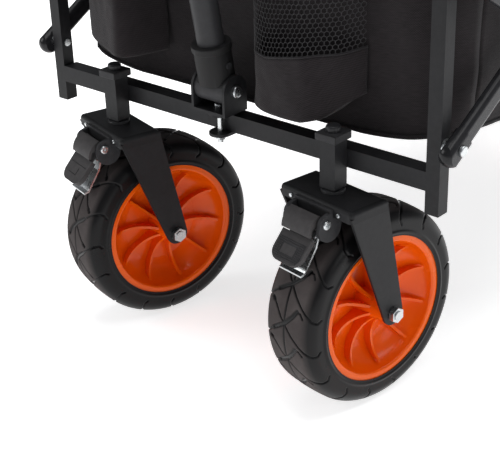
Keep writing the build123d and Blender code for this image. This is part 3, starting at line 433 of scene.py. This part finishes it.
TREAD_REPEATS = 16
TREAD_PITCH = 360 / TREAD_REPEATS                 # degrees
CUT_FLANK, CUT_BLEND = 0.7, 1.1                   # how far a cut's flank runs out and softens, mm
CROWN_DROP, CROWN_RISE = 0.0008, 0.0016           # the running face's shoulder and its crown, m
SHOULDER_R = 0.015
TREAD_EDGE = 0.046                                # the tread's cuts end this far round from the middle
BEAD_LIFT, BEAD_IN, BEAD_WIDTH = 0.0011, 0.004, 0.0018
GROUND_EDGE, GROUND_FADE = 0.030, 0.008           # where the dusty running face fades into the side
THIN_CUT, WIDE_CUT = (0.8, 1.5), (1.9, 2.2)       # half-width and depth, mm
TREAD_LINES = [   # degrees round the wheel from a crossing, mm across from the middle: one repeat
    (THIN_CUT, [(0, 0), (-5.5, 9.5), (-10, 19), (-13.5, 27), (-16.3, 33.5), (-17, 39.5), (-15, 43.5)]),
    (WIDE_CUT, [(0, 0), (5.2, 9.5), (9.6, 15)]),
    (THIN_CUT, [(9.6, 15), (9.2, 19.5), (6.8, 23)]),
    (THIN_CUT, [(0, 0), (11.2, 0), (22.5, 0)]),
    (THIN_CUT, [(0, 0), (2.5, -5), (8.0, -13), (10.4, -17.5)]),
    (WIDE_CUT, [(10.4, -17.5), (11.4, -20)]),
    (WIDE_CUT, [(0, 0), (-2.5, -7), (-5.5, -15)]),
    (THIN_CUT, [(-5.5, -15), (-9.5, -25), (-12, -33), (-12.6, -39.5), (-10.6, -43.5)]),
]


def tyre_profile(radius, half_width, shoulder, bead_radius):
    """Distances across (signed, from the middle) with the section point (x, r, nx, nr) at each."""
    flat = half_width - shoulder
    arc = shoulder * math.pi / 2
    wall = radius - shoulder - bead_radius

    def point(w):
        side = 1.0 if w >= 0 else -1.0
        d = abs(w)
        if d <= flat:
            crown = CROWN_RISE * (1 - min(d / flat, 1.0) ** 2)
            return side * d, radius - CROWN_DROP + crown * 0.5, 0.0, 1.0
        if d <= flat + arc:
            turn = (d - flat) / shoulder
            return (side * (flat + shoulder * math.sin(turn)),
                    radius - CROWN_DROP - shoulder * (1 - math.cos(turn)),
                    side * math.sin(turn), math.cos(turn))
        down = min(d - flat - arc, wall)
        return side * half_width, radius - CROWN_DROP - shoulder - down, side, 0.0

    return point, flat + arc + wall


def cut_depth(turn, across, radius):
    """Depth of the tread's cuts at one point, with turn in degrees and across in mm."""
    depth = 0.0
    per_degree = radius * math.pi / 180
    for (half_width, deep), line in TREAD_LINES:
        for (a0, w0), (a1, w1) in zip(line, line[1:]):
            for lap in (-TREAD_PITCH, 0, TREAD_PITCH):
                x0, x1 = (a0 + lap) * per_degree, (a1 + lap) * per_degree
                px = turn * per_degree
                dx, dy = x1 - x0, w1 - w0
                t = max(0.0, min(1.0, ((px - x0) * dx + (across - w0) * dy) / (dx * dx + dy * dy)))
                away = math.hypot(px - x0 - t * dx, across - w0 - t * dy)
                if away < half_width + CUT_FLANK:
                    edge = min(1.0, max(0.0, (half_width + CUT_FLANK - away) / CUT_BLEND))
                    depth = max(depth, deep * edge * edge * (3 - 2 * edge))
    return depth


def make_tyre_mesh():
    """One treaded tyre about the X axis at the origin, shared by all four wheels."""
    low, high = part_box("rear_tyre_left")
    rim_low, rim_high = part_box("rear_rim_left")
    radius = (high.z - low.z) / 2
    half_width = (high.x - low.x) / 2
    bead_radius = (rim_high.z - rim_low.z) / 2 + 0.0002
    point, half_length = tyre_profile(radius, half_width, SHOULDER_R, bead_radius)
    tread_steps, side_steps, round_steps = 110, 14, 56
    across = list(np.linspace(-half_length, -TREAD_EDGE, side_steps, endpoint=False))
    across += list(np.linspace(-TREAD_EDGE, TREAD_EDGE, tread_steps, endpoint=False))
    across += list(np.linspace(TREAD_EDGE, half_length, side_steps + 1))
    cuts = [[cut_depth(TREAD_PITCH * j / round_steps, w * 1000, radius * 1000) * MM
             for j in range(round_steps)] for w in across]
    columns = TREAD_REPEATS * round_steps
    points, face_and_cut_shade = [], []
    for w, row in zip(across, cuts):
        x, r, nx, nr = point(w)
        bead = BEAD_LIFT * math.exp(-((abs(w) - half_length + BEAD_IN) / BEAD_WIDTH) ** 2)
        face = max(0.0, min(1.0, (GROUND_EDGE - abs(w)) / GROUND_FADE))
        for j in range(columns):
            cut = row[j % round_steps] - bead
            turn = 2 * math.pi * j / columns
            rr, xx = r - nr * cut, x - nx * cut
            points.append((xx, -rr * math.cos(turn), rr * math.sin(turn)))
            # The dusty face's share at each point, lowered in the cuts and nothing where they are over 1 mm
            # deep: painted shade in the cuts.
            face_and_cut_shade.append(face * (1 - min(1.0, row[j % round_steps] * 1000)))
    faces = [face[::-1] for face in grid_faces(len(across), columns, closed=True)]
    piece = mesh_piece("tyre_source", points, faces, TYRE_RUBBER)
    mark = piece.data.attributes.new("dusty_face_and_cut_shade", "FLOAT", "POINT")
    mark.data.foreach_set("value", face_and_cut_shade)
    return piece


def make_tyres():
    """The four tyres, each turned as its wheel stands: swivel, facing and the tread's phase in degrees."""
    source = make_tyre_mesh()
    turned = {"front_tyre_left": (CASTER_SWIVEL["left"], 180.0, 14.2),
              "front_tyre_right": (CASTER_SWIVEL["right"], 0.0, -6.3),
              "rear_tyre_left": (0.0, 180.0, 4.0), "rear_tyre_right": (0.0, 0.0, -9.0)}
    for node, (swivel, facing, phase) in turned.items():
        low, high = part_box(node)
        tyre = bpy.data.objects.new(node.replace("tyre", "treaded_tyre"), source.data)
        bpy.context.collection.objects.link(tyre)
        place = Matrix.Translation((low + high) / 2) @ Matrix.Rotation(math.radians(swivel + facing), 4, "Z")
        tyre.matrix_world = place @ Matrix.Rotation(math.radians(phase), 4, "X")
        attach(tyre, node.replace("front_tyre", "front_wheel").replace("rear_tyre", "rear_wheel"))
        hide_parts(node)
    bpy.data.objects.remove(source)


# ---------------------------------------------------------------- brake mouldings

RIB_R, RIB_PITCH, RIBS = 0.6, 2.1, 10          # the pedal's grip ribs, mm
RIB_FOOT = 4.0                                 # the lowest rib above the pedal's edge
RIB_INSET = 2.6
PEDAL_CORNER_R = 8.9
PAD_HALF, PAD_LOW, PAD_HIGH = 9.0, 8.6, 18.0   # the plain pad between the ribs
PAD_GAP = 1.4                                  # from the pad's side to the ribs' ends
# The rib-shade lift, margin and rows place a dark sheet under the right pedal's ribs: painted shade between
# the ribs.
PAD_LIFT, RIB_SHADE_LIFT, ROOT = 0.5, 0.12, -0.3  # heights over the face, and how deep both are rooted
RIB_SHADE_MARGIN, RIB_SHADE_ROWS = 1.2, 12
# Radius of the left pedal's dark lines, painted shade standing for its grooves.
LINE_R = 0.4


def moulded_face(name, side):
    """The node's widest upward face.

    Gives a function from (mm across, mm above its foot) to a point, and its half-width, length and normal.
    """
    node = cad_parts[name]
    place = node.matrix_world
    turn = place.to_3x3()
    faces = {}
    for face in node.data.polygons:
        normal = (turn @ face.normal).normalized()
        if normal.z > 0.3:
            faces.setdefault(tuple(round(c, 1) for c in normal), []).append((face, normal))
    widest = max(faces.values(), key=lambda found: sum(face.area for face, _ in found))
    normal = sum((n * face.area for face, n in widest), Vector()).normalized()
    swivel = math.radians(CASTER_SWIVEL[side])
    across = Vector((math.cos(swivel), math.sin(swivel), 0))
    up = normal.cross(across)
    points = [place @ v.co for v in node.data.vertices]
    used = [points[i] for face, _ in widest for i in face.vertices]
    us, vs = [p.dot(across) for p in used], [p.dot(up) for p in used]
    foot = across * (min(us) + max(us)) / 2 + up * min(vs) + normal * used[0].dot(normal)
    tree = BVHTree.FromPolygons(points, [tuple(face.vertices) for face in node.data.polygons])

    def on_face(u, h):
        start = foot + (across * u + up * h + normal * 20) * MM
        return tree.ray_cast(start, -normal)[0] or start - normal * 20 * MM

    return on_face, (max(us) - min(us)) / 2 / MM, (max(vs) - min(vs)) / MM, normal


def face_bead(name, node, on_face, ends, radius=RIB_R, finish=PEDAL_GREY, steps=8):
    """A raised bead on a brake's face, along straight runs between (across, up) places; in the dark finish
    it is painted shade standing for a groove.
    """
    path = []
    for (u0, h0), (u1, h1) in zip(ends, ends[1:]):
        path += [on_face(u0 + (u1 - u0) * k / steps, h0 + (h1 - h0) * k / steps) for k in range(steps)]
    path.append(on_face(*ends[-1]))
    bead = tube_along(name, path, radius * MM, finish)
    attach(bead, node)
    return bead


def make_pedal_grip():
    """The right pedal's grip ribs round a plain pad, over a dark sheet of painted shade between the ribs,
    the left pedal's dark lines of painted groove shade and the release tabs' lines.
    """
    on_face, half, _, normal = moulded_face("brake_pedal_right", "right")

    def reach_at(h):
        corner = max(0.0, PEDAL_CORNER_R - h)
        return half - RIB_INSET - (PEDAL_CORNER_R - math.sqrt(PEDAL_CORNER_R ** 2 - corner ** 2))

    # A dark sheet round the ribs' rows, standing for the shade between the ribs: painted shade.
    heights = np.linspace(RIB_FOOT - RIB_SHADE_MARGIN, RIB_FOOT + RIB_PITCH * (RIBS - 1) + RIB_SHADE_MARGIN,
                          RIB_SHADE_ROWS)
    edge = [(-reach_at(h) - 0.8, h) for h in heights] + [(reach_at(h) + 0.8, h) for h in heights[::-1]]
    outline = [on_face(u, h) for u, h in edge]
    count = len(outline)
    points = [p + normal * lift * MM for lift in (ROOT, RIB_SHADE_LIFT) for p in outline]
    sides = [(k, count + k, count + (k + 1) % count, (k + 1) % count) for k in range(count)]
    rib_shade_sheet = mesh_piece("pedal_rib_painted_shade", points,
                        [tuple(range(count)), tuple(range(2 * count - 1, count - 1, -1)), *sides],
                        NYLON_BLACK, smooth=False)
    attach(rib_shade_sheet, "brake_pedal_right")
    for i in range(RIBS):
        h = RIB_FOOT + RIB_PITCH * i
        reach = reach_at(h)
        if PAD_LOW - 1 < h < PAD_HIGH + 1:
            for name, turn in (("left", -1), ("right", 1)):
                face_bead(f"pedal_rib_{i}_{name}", "brake_pedal_right", on_face,
                             [(turn * (PAD_HALF + PAD_GAP), h), (turn * reach, h)])
        else:
            face_bead(f"pedal_rib_{i}", "brake_pedal_right", on_face, [(-reach, h), (reach, h)])
    corners = [on_face(u, h) for u, h in ((-PAD_HALF, PAD_LOW), (PAD_HALF, PAD_LOW), (PAD_HALF, PAD_HIGH),
                                          (-PAD_HALF, PAD_HIGH))]
    points = [p + normal * lift * MM for lift in (ROOT, PAD_LIFT) for p in corners]
    faces = [(4, 5, 6, 7), (3, 2, 1, 0), (0, 1, 5, 4), (1, 2, 6, 5), (2, 3, 7, 6), (3, 0, 4, 7)]
    pad = mesh_piece("pedal_plain_pad", points, faces, PEDAL_GREY, smooth=False)
    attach(pad, "brake_pedal_right")
    on_face, half, _, _ = moulded_face("brake_pedal_left", "left")
    # The left pedal's grooves drawn as dark beads: painted shade of the grooves.
    for name, ends in (("line", [(3 - half, 21), (half - 3, 21)]), ("angle", [(-11, 9), (5, 9), (5, 17)])):
        face_bead("pedal_" + name, "brake_pedal_left", on_face, ends, LINE_R, NYLON_BLACK)
    for side in ("left", "right"):
        on_face, half, length, _ = moulded_face("brake_release_" + side, side)
        for i, inset in enumerate((3.4, 6.2)):
            face_bead(f"release_line_{side}_{i}", "brake_release_" + side, on_face,
                         [(half - inset, 2.0), (half - inset, length - 2.0)])


# ---------------------------------------------------------------- bag

BAG_FRONT = 28.0              # mid-thickness of the front panel, mm from the datum
BAG_LENGTH = (REAR_POSTS[1].y - DATUM.y) / MM
BAG_HALF = 253.0
BAG_CORNER_R = 46.0
BAG_RIM = (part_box("bag_side_panels")[1].z - DATUM.z) / MM
BAG_FOOT = 50.0               # where its cloth starts to hang free
BELLY, FOLDS, CREASES, WRINKLES = 5.5, 4.2, 1.8, 0.7    # how far the cloth stands out, mm
WALL_INSET, FOOT_TAPER = 1.5, 3.0
TAPE_SECTION = [(-24.0, 1.4), (-23.0, 1.9), (-2.0, 1.9), (0.6, 0.9),      # the rim's binding, up and out
                (0.6, -0.9), (-2.0, -1.9), (-23.0, -1.9), (-24.0, -1.4)]
PIPING_R = 0.0023
CLOTH = 0.0011
SIDE_START = BAG_FRONT + BAG_CORNER_R      # the side panels' front end


def bag_bottom(x, y):
    """Height of the bag's lower edge: lowest in the middle, lifted at the corners."""
    corner_x = max(0.0, (abs(x) - 150.0) / 105.0)
    ends = min(abs(y - BAG_FRONT), abs(BAG_LENGTH - BAG_FRONT - y))
    corner_y = max(0.0, 1.0 - ends / 120.0)
    return 48.5 + 17.0 * corner_x ** 1.6 * (0.25 + 0.75 * corner_y)


def soft_noise(x, y, z, size, seed):
    """Seeded smooth noise, with features about size mm across."""
    return noise.noise(Vector((x / size + seed, y / size - seed, z / size + 0.5 * seed)))


def bag_sag(x, y, z):
    """How far the cloth stands out at a place: long hanging folds and small creases, mm."""
    rise = (z - BAG_FOOT) / (BAG_RIM - BAG_FOOT)
    belly = BELLY * math.sin(math.pi * min(1.0, max(0.0, rise)))
    fold = FOLDS * soft_noise(x * 1.6, y * 1.6, z * 0.45, 95.0, 3.7)
    crease = CREASES * soft_noise(x, y, z * 0.8, 34.0, 9.1) + WRINKLES * soft_noise(x, y, z, 15.0, 5.3)
    held = min(1.0, max(0.0, rise) * 6.0 + 0.25) * min(1.0, (1.0 - rise) * 5.0 + 0.1)
    return (belly + fold + crease) * held


def wall_point(x, y, normal, z_share):
    """A point on the bag's wall: plan place, outward normal and share of the height."""
    low = bag_bottom(x, y)
    z = low + (BAG_RIM - low) * z_share
    out = bag_sag(x, y, z) - WALL_INSET
    taper = FOOT_TAPER * (1 - z_share) ** 2
    return at(x + normal[0] * (out - taper), y + normal[1] * (out - taper), z)


def end_plan(rear, step=6.0):
    """Plan points and normals along an end panel, from the left side round to the right."""
    flat = BAG_HALF - BAG_CORNER_R
    points = []
    turns = 9
    for i in range(turns + 1):
        a = math.radians(90.0 * i / turns)
        points.append((-flat - BAG_CORNER_R * math.cos(a), BAG_CORNER_R * (1 - math.sin(a)),
                       (-math.cos(a), -math.sin(a))))
    count = int(2 * flat / step)
    for i in range(1, count):
        points.append((-flat + 2 * flat * i / count, 0.0, (0.0, -1.0)))
    for i in range(turns + 1):
        a = math.radians(90.0 * i / turns)
        points.append((flat + BAG_CORNER_R * math.sin(a), BAG_CORNER_R * (1 - math.cos(a)),
                       (math.sin(a), -math.cos(a))))
    if not rear:
        return [(x, BAG_FRONT + y, n) for x, y, n in points]
    return [(x, BAG_LENGTH - BAG_FRONT - y, (n[0], -n[1])) for x, y, n in points]


def side_plan(side, step=7.0):
    """Plan points and normals along a side panel, from front to rear."""
    run = BAG_LENGTH - SIDE_START - SIDE_START
    count = int(run / step)
    return [(side * BAG_HALF, SIDE_START + run * i / count, (side, 0.0)) for i in range(count + 1)]


def bag_wall(name, plan, rows=58):
    """A wall sheet, its piping along the lower edge and the binding at its rim."""
    run, runs = 0.0, []
    for i, (x, y, n) in enumerate(plan):
        run += math.hypot(x - plan[i - 1][0], y - plan[i - 1][1]) * MM if i else 0.0
        runs.append(run)
    points, uv = [], []
    for i in range(rows + 1):
        share = i / rows
        for (x, y, n), u in zip(plan, runs):
            points.append(wall_point(x, y, n, share))
            uv.append((u, share * (BAG_RIM - BAG_FOOT) * MM))
    columns = len(plan)
    sheet = mesh_piece(name, points, grid_faces(rows + 1, columns), BAG_CLOTH, uv)
    flat = (runs[-1], sum((points[rows * columns + j] - points[j]).length for j in range(columns)) / columns)
    foot = [points[j] + Vector((0, 0, -0.0006)) for j in range(columns)]
    thicken(sheet, CLOTH)
    piping = tube_along(name + "_piping", foot, PIPING_R, BINDING)
    rim = [Vector(points[rows * columns + j]) for j in range(columns)]
    band, band_uv = [], []
    for lift, out in TAPE_SECTION:
        for j, (x, y, n) in enumerate(plan):
            band.append(rim[j] + Vector((n[0] * out, n[1] * out, lift)) * MM)
            band_uv.append((runs[j], lift * MM))
    tape = mesh_piece(name + "_rim_tape", band, grid_faces(len(TAPE_SECTION), columns), BINDING, band_uv)
    return sheet, [piping, tape], flat


def make_bag():
    """Four walls: the ends ride on the two end frames and the sides, with their folds and creases, ride on
    the front frame between them.
    """
    for name in ("front", "rear"):
        wall, trims, flat = bag_wall(f"bag_{name}_wall", end_plan(name == "rear"))
        for piece in (wall, *trims):
            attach(piece, name + "_frame")
        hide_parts(f"bag_{name}_panel")
        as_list(trims)
    for name, side in (("left", -1), ("right", 1)):
        wall, trims, flat = bag_wall(f"bag_{name}_wall", side_plan(side))
        for piece in (wall, *trims):
            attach(piece, "front_frame")
            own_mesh(piece)
        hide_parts("bag_side_panels")
        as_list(trims)


# ---------------------------------------------------------------- bag floor and pockets

PANEL_FACE = 24.0             # the pockets are sewn to the front panel here, mm from the datum
STITCH = (0.0026, 0.0006)     # length and half-width of one stitch
NET_PITCH, NET_CORD_T = 0.0053, 0.0009
NET_HEIGHT = 0.165
CUP_PLAN = [(-211, 24), (-206, 10), (-181, -6), (-148, -21), (-124, -31), (-113, -24), (-107, -8),
            (-99, 24)]
CUP_LOW, CUP_TOP = 85.0, 190.0
MESH_PLAN = [(27, 24), (40, 5), (58, -10), (80, -17), (115, -17.5), (135, -8), (152, 5), (165, 24)]
MESH_FOOT = ((27, 40, 58, 115, 135, 152, 165), (58, 60, 62, 62.5, 68, 83, 92))            # x and height
MESH_SEAM = ((40, 75, 95, 116, 135, 150, 165), (122, 120, 124, 128, 131, 133, 138))
MESH_TOP = 290.0
POCKET_FOOT_ROWS = (0.0, 0.35, 0.7, 0.94)     # shares of the way out from the panel
CUP_STITCH_ROW = 20                           # the pocket's row that the stitches follow
FLOOR_INSET, FLOOR_CLOTH = 2.5, 0.0016        # in from the walls (mm), and its thickness (m)


def cloth_grid(name, rows, finish, thickness=CLOTH):
    """A sheet over rows of points, with UVs in metres; gives the piece and its flat size."""
    columns = len(rows[0])
    across = [0.0]
    for j in range(1, columns):
        across.append(across[-1] + (rows[-1][j] - rows[-1][j - 1]).length)
    uv, height = [], [0.0] * columns
    for i, row in enumerate(rows):
        for j, point in enumerate(row):
            height[j] += (point - rows[i - 1][j]).length if i else 0.0
            uv.append((across[j], height[j]))
    points = [point for row in rows for point in row]
    piece = mesh_piece(name, points, grid_faces(len(rows), columns), finish, uv)
    thicken(piece, thickness)
    return piece, (across[-1], sum(height) / columns)


def smooth_plan(corners, count):
    """Evenly parted plan points on a smooth line through the corners, each with its outward normal."""
    line = []
    ends = [corners[0], *corners, corners[-1]]
    for a, b, c, d in zip(ends, ends[1:], ends[2:], ends[3:]):
        for step in range(12):
            t = step / 12
            line.append(tuple(0.5 * (2 * q + (r - o) * t + (2 * o - 5 * q + 4 * r - w) * t * t
                                     + (3 * q - o - 3 * r + w) * t ** 3)
                              for o, q, r, w in zip(a, b, c, d)))
    line = np.array([*line, corners[-1]])
    run = np.concatenate([[0], np.cumsum(np.hypot(*np.diff(line, axis=0).T))])
    marks = np.linspace(0, run[-1], count)
    x, y = np.interp(marks, run, line[:, 0]), np.interp(marks, run, line[:, 1])
    dx, dy = np.gradient(x), np.gradient(y)
    length = np.hypot(dx, dy)
    return [(x[i], y[i], (dy[i] / length[i], -dx[i] / length[i])) for i in range(count)]


def pocket_point(x, y, normal, z, seed, fullness=1.0):
    """A place on a pocket's cloth, with its slack folds."""
    slack = 2.6 * soft_noise(x * 1.3, y, z * 0.6, 38.0, seed) + 0.8 * soft_noise(x, y, z, 13.0, seed + 4)
    return at(x + normal[0] * slack * fullness, y + normal[1] * slack * fullness, z)


def pocket_rows(plan, low, high, seed, steps):
    """Rows from the panel, out along the pocket's foot and up its face to high(x)."""
    rows = []
    for share in POCKET_FOOT_ROWS:
        rows.append([at(x, PANEL_FACE + (y - PANEL_FACE) * share, low(x) + 1.2 - 1.2 * share)
                     for x, y, _ in plan])
    for i in range(steps + 1):
        share = i / steps
        rows.append([pocket_point(x, y, n, low(x) + 1.5 + (high(x) - low(x) - 1.5) * share, seed,
                                  0.25 + min(1.0, 3 * share)) for x, y, n in plan])
    return rows


def stitch_row(name, path, finish, gap=0.0048):
    """Short raised stitches along a path on the cloth."""
    points, faces, run = [], [], 0.0
    for a, b in zip(path, path[1:]):
        run += (b - a).length
        if run < gap:
            continue
        run = 0.0
        ahead = (b - a).normalized()
        side = ahead.cross(Vector((0, 0, 1))).normalized()
        up = side.cross(ahead)
        start = len(points)
        for end in (-0.5, 0.5):
            for u, v in ((-1, 0), (0, 1), (1, 0), (0, -1)):
                points.append(b + ahead * STITCH[0] * end + (side * u + up * v) * STITCH[1])
        faces += [(start + k, start + (k + 1) % 4, start + 4 + (k + 1) % 4, start + 4 + k) for k in range(4)]
        faces += [(start + 3, start + 2, start + 1, start), (start + 4, start + 5, start + 6, start + 7)]
    return mesh_piece(name, points, faces, finish, [(0, 0)] * len(points))


def hexagon_net(name, place, width, height):
    """Knitted net: a real lattice of cords round six-sided holes."""
    side = NET_PITCH / math.sqrt(3)
    seen, points, faces = {}, [], []
    for r in range(int(height / (1.5 * side))):
        for c in range(int(width / NET_PITCH)):
            face = []
            for k in range(6):
                turn = math.radians(30 + 60 * k)
                u = (c + 0.5 + 0.5 * (r % 2)) * NET_PITCH + side * math.cos(turn)
                v = (r * 1.5 + 1.0) * side + side * math.sin(turn)
                key = (round(u * 1e6), round(v * 1e6))
                if key not in seen:
                    seen[key] = len(points)
                    points.append(place(min(u / width, 1.0), min(v / height, 1.0)))
                face.append(seen[key])
            faces.append(tuple(face))
    net = mesh_piece(name, points, faces, NET_CORD, [(0, 0)] * len(points))
    wires = net.modifiers.new("cords", "WIREFRAME")
    wires.thickness = NET_CORD_T
    wires.use_even_offset = False
    return apply_modifiers(net)


def make_cup_pocket():
    """The small closed pocket, with its brim and a row of stitches round it."""
    plan = smooth_plan(CUP_PLAN, 60)
    rows = pocket_rows(plan, lambda x: CUP_LOW, lambda x: CUP_TOP, 2.3, 26)
    pocket, flat = cloth_grid("cup_pocket_cloth", rows, BAG_CLOTH)
    brim = tube_along("cup_pocket_brim", rows[-1], 0.0024, BINDING)
    seam = [p + Vector((n[0], n[1], 0)) * CLOTH for p, (_, _, n) in zip(rows[CUP_STITCH_ROW], plan)]
    stitches = stitch_row("cup_pocket_stitches", resample(seam, 0.0012), BINDING)
    dress_pocket(pocket, flat, "cup_pocket", [brim, stitches])


def mesh_pocket_low(x):
    return float(np.interp(x, *MESH_FOOT))


def mesh_pocket_seam(x):
    return float(np.interp(x, *MESH_SEAM))


def make_mesh_pocket():
    """The tall pocket: a cloth band with net above it up to the brim."""
    plan = smooth_plan(MESH_PLAN, 80)
    rows = pocket_rows(plan, mesh_pocket_low, mesh_pocket_seam, 6.1, 16)
    band, flat = cloth_grid("mesh_pocket_band", rows, BAG_CLOTH)
    piping = tube_along("mesh_pocket_seam", rows[-1], 0.0011, BINDING)

    def place(u, v):
        i = u * (len(plan) - 1)
        a, b = plan[int(i)], plan[min(int(i) + 1, len(plan) - 1)]
        t = i - int(i)
        x, y = a[0] + (b[0] - a[0]) * t, a[1] + (b[1] - a[1]) * t
        seam = mesh_pocket_seam(x)
        z = seam + (MESH_TOP - seam) * v
        return pocket_point(x, y, a[2], z, 6.1)

    net = hexagon_net("mesh_pocket_net", place, flat[0], NET_HEIGHT)
    brim = tube_along("mesh_pocket_brim", [place(i / 79, 1.0) for i in range(80)], 0.0026, BINDING)
    dress_pocket(band, flat, "mesh_pocket", [piping, net, brim])


def resample(path, gap):
    """The same line as closely spaced points."""
    out = []
    for a, b in zip(path, path[1:]):
        count = max(1, int((b - a).length / gap))
        out += [a.lerp(b, k / count) for k in range(count)]
    return [*out, path[-1]]


def dress_pocket(cloth, flat, node, trims):
    """Puts a pocket and its trims on the front frame and hides the node it stands for."""
    for piece in (cloth, *trims):
        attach(piece, "front_frame")
    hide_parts(node)


def make_bag_floor():
    """The bag's floor cloth, rounded at its corners."""
    rear_edge = BAG_LENGTH - BAG_FRONT
    rows, steps, columns = [], 90, 60
    for i in range(steps + 1):
        y = BAG_FRONT + (rear_edge - BAG_FRONT) * i / steps
        inset = min(y - BAG_FRONT, rear_edge - y)
        cut = max(0.0, BAG_CORNER_R - inset)
        half = BAG_HALF - FLOOR_INSET - (BAG_CORNER_R - math.sqrt(max(0.0, BAG_CORNER_R ** 2 - cut ** 2)))
        row = []
        for j in range(columns + 1):
            x = half * (2 * j / columns - 1)
            row.append(at(x, y, bag_bottom(x, y) + 0.6 + 0.7 * soft_noise(x, y, 0, 60.0, 1.7)))
        rows.append(row)
    floor, _ = cloth_grid("bag_floor_cloth", rows, BAG_CLOTH, FLOOR_CLOTH)
    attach(floor, "front_frame")
    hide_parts("bag_floor")
    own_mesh(floor)


# ---------------------------------------------------------------- studio

STUDIO_HALF = 6.0
SOFTBOXES = [("overhead", (0.2, 0.3, 3.2), 3.4, 105.0), ("front_left", (-2.4, -2.2, 1.5), 1.3, 20.0),
             ("right", (2.8, -0.6, 1.3), 1.3, 8.0)]       # name, place, size (m) and power (W)


def make_studio():
    """A pale light table, a dim even room and three softboxes aimed at the cart's front."""
    corners = [(x * STUDIO_HALF, y * STUDIO_HALF, 0) for x, y in ((-1, -1), (1, -1), (1, 1), (-1, 1))]
    floor = mesh_piece("studio_floor", corners, [(0, 1, 2, 3)],
                       Finish("studio_light_table", Base_Color=(0.93, 0.93, 0.93, 1), Roughness=0.9,
                              Emission_Color=(1, 1, 1, 1), Emission_Strength=0.7), smooth=False)
    world = bpy.data.worlds.new("studio")
    world.use_nodes = True
    world.node_tree.nodes["Background"].inputs["Color"].default_value = (0.93, 0.95, 1, 1)
    world.node_tree.nodes["Background"].inputs["Strength"].default_value = 0.22
    bpy.context.scene.world = world
    bpy.context.scene.view_settings.view_transform = "Standard"
    for name, place, size, power in SOFTBOXES:
        light = bpy.data.lights.new("softbox_" + name, "AREA")
        light.energy = power
        light.size = size
        lamp = bpy.data.objects.new("softbox_" + name, light)
        lamp.location = place
        lamp.rotation_euler = (at(0, 0, 0) - Vector(place)).to_track_quat("-Z", "Y").to_euler()
        bpy.context.collection.objects.link(lamp)


CAMERA_LENS, CAMERA_SENSOR = 87.3, 36.0
CAMERA_PLACE = (808.99, -850.57, 485.86)        # mm from the datum
CAMERA_TURN = (42.4, 26.07, -1.89)              # yaw, pitch down and roll, degrees


def make_camera():
    """The camera at the fitted place, looking down over the front right corner."""
    data = bpy.data.cameras.new("camera")
    data.lens = CAMERA_LENS
    data.sensor_width = CAMERA_SENSOR
    camera = bpy.data.objects.new("camera", data)
    yaw, pitch, roll = (math.radians(angle) for angle in CAMERA_TURN)
    ahead = Vector((-math.sin(yaw) * math.cos(pitch), math.cos(yaw) * math.cos(pitch), -math.sin(pitch)))
    level = Vector((math.cos(yaw), math.sin(yaw), 0))
    up = level.cross(ahead)
    right = level * math.cos(roll) + up * math.sin(roll)
    top = up * math.cos(roll) - level * math.sin(roll)
    turn = Matrix((right, top, -ahead)).transposed().to_4x4()
    camera.matrix_world = Matrix.Translation(at(*CAMERA_PLACE)) @ turn
    bpy.context.collection.objects.link(camera)
    bpy.context.scene.camera = camera


dress_frame_nodes()
make_tyres()
make_pedal_grip()
make_bag()
make_bag_floor()
make_cup_pocket()
make_mesh_pocket()
make_studio()
make_camera()
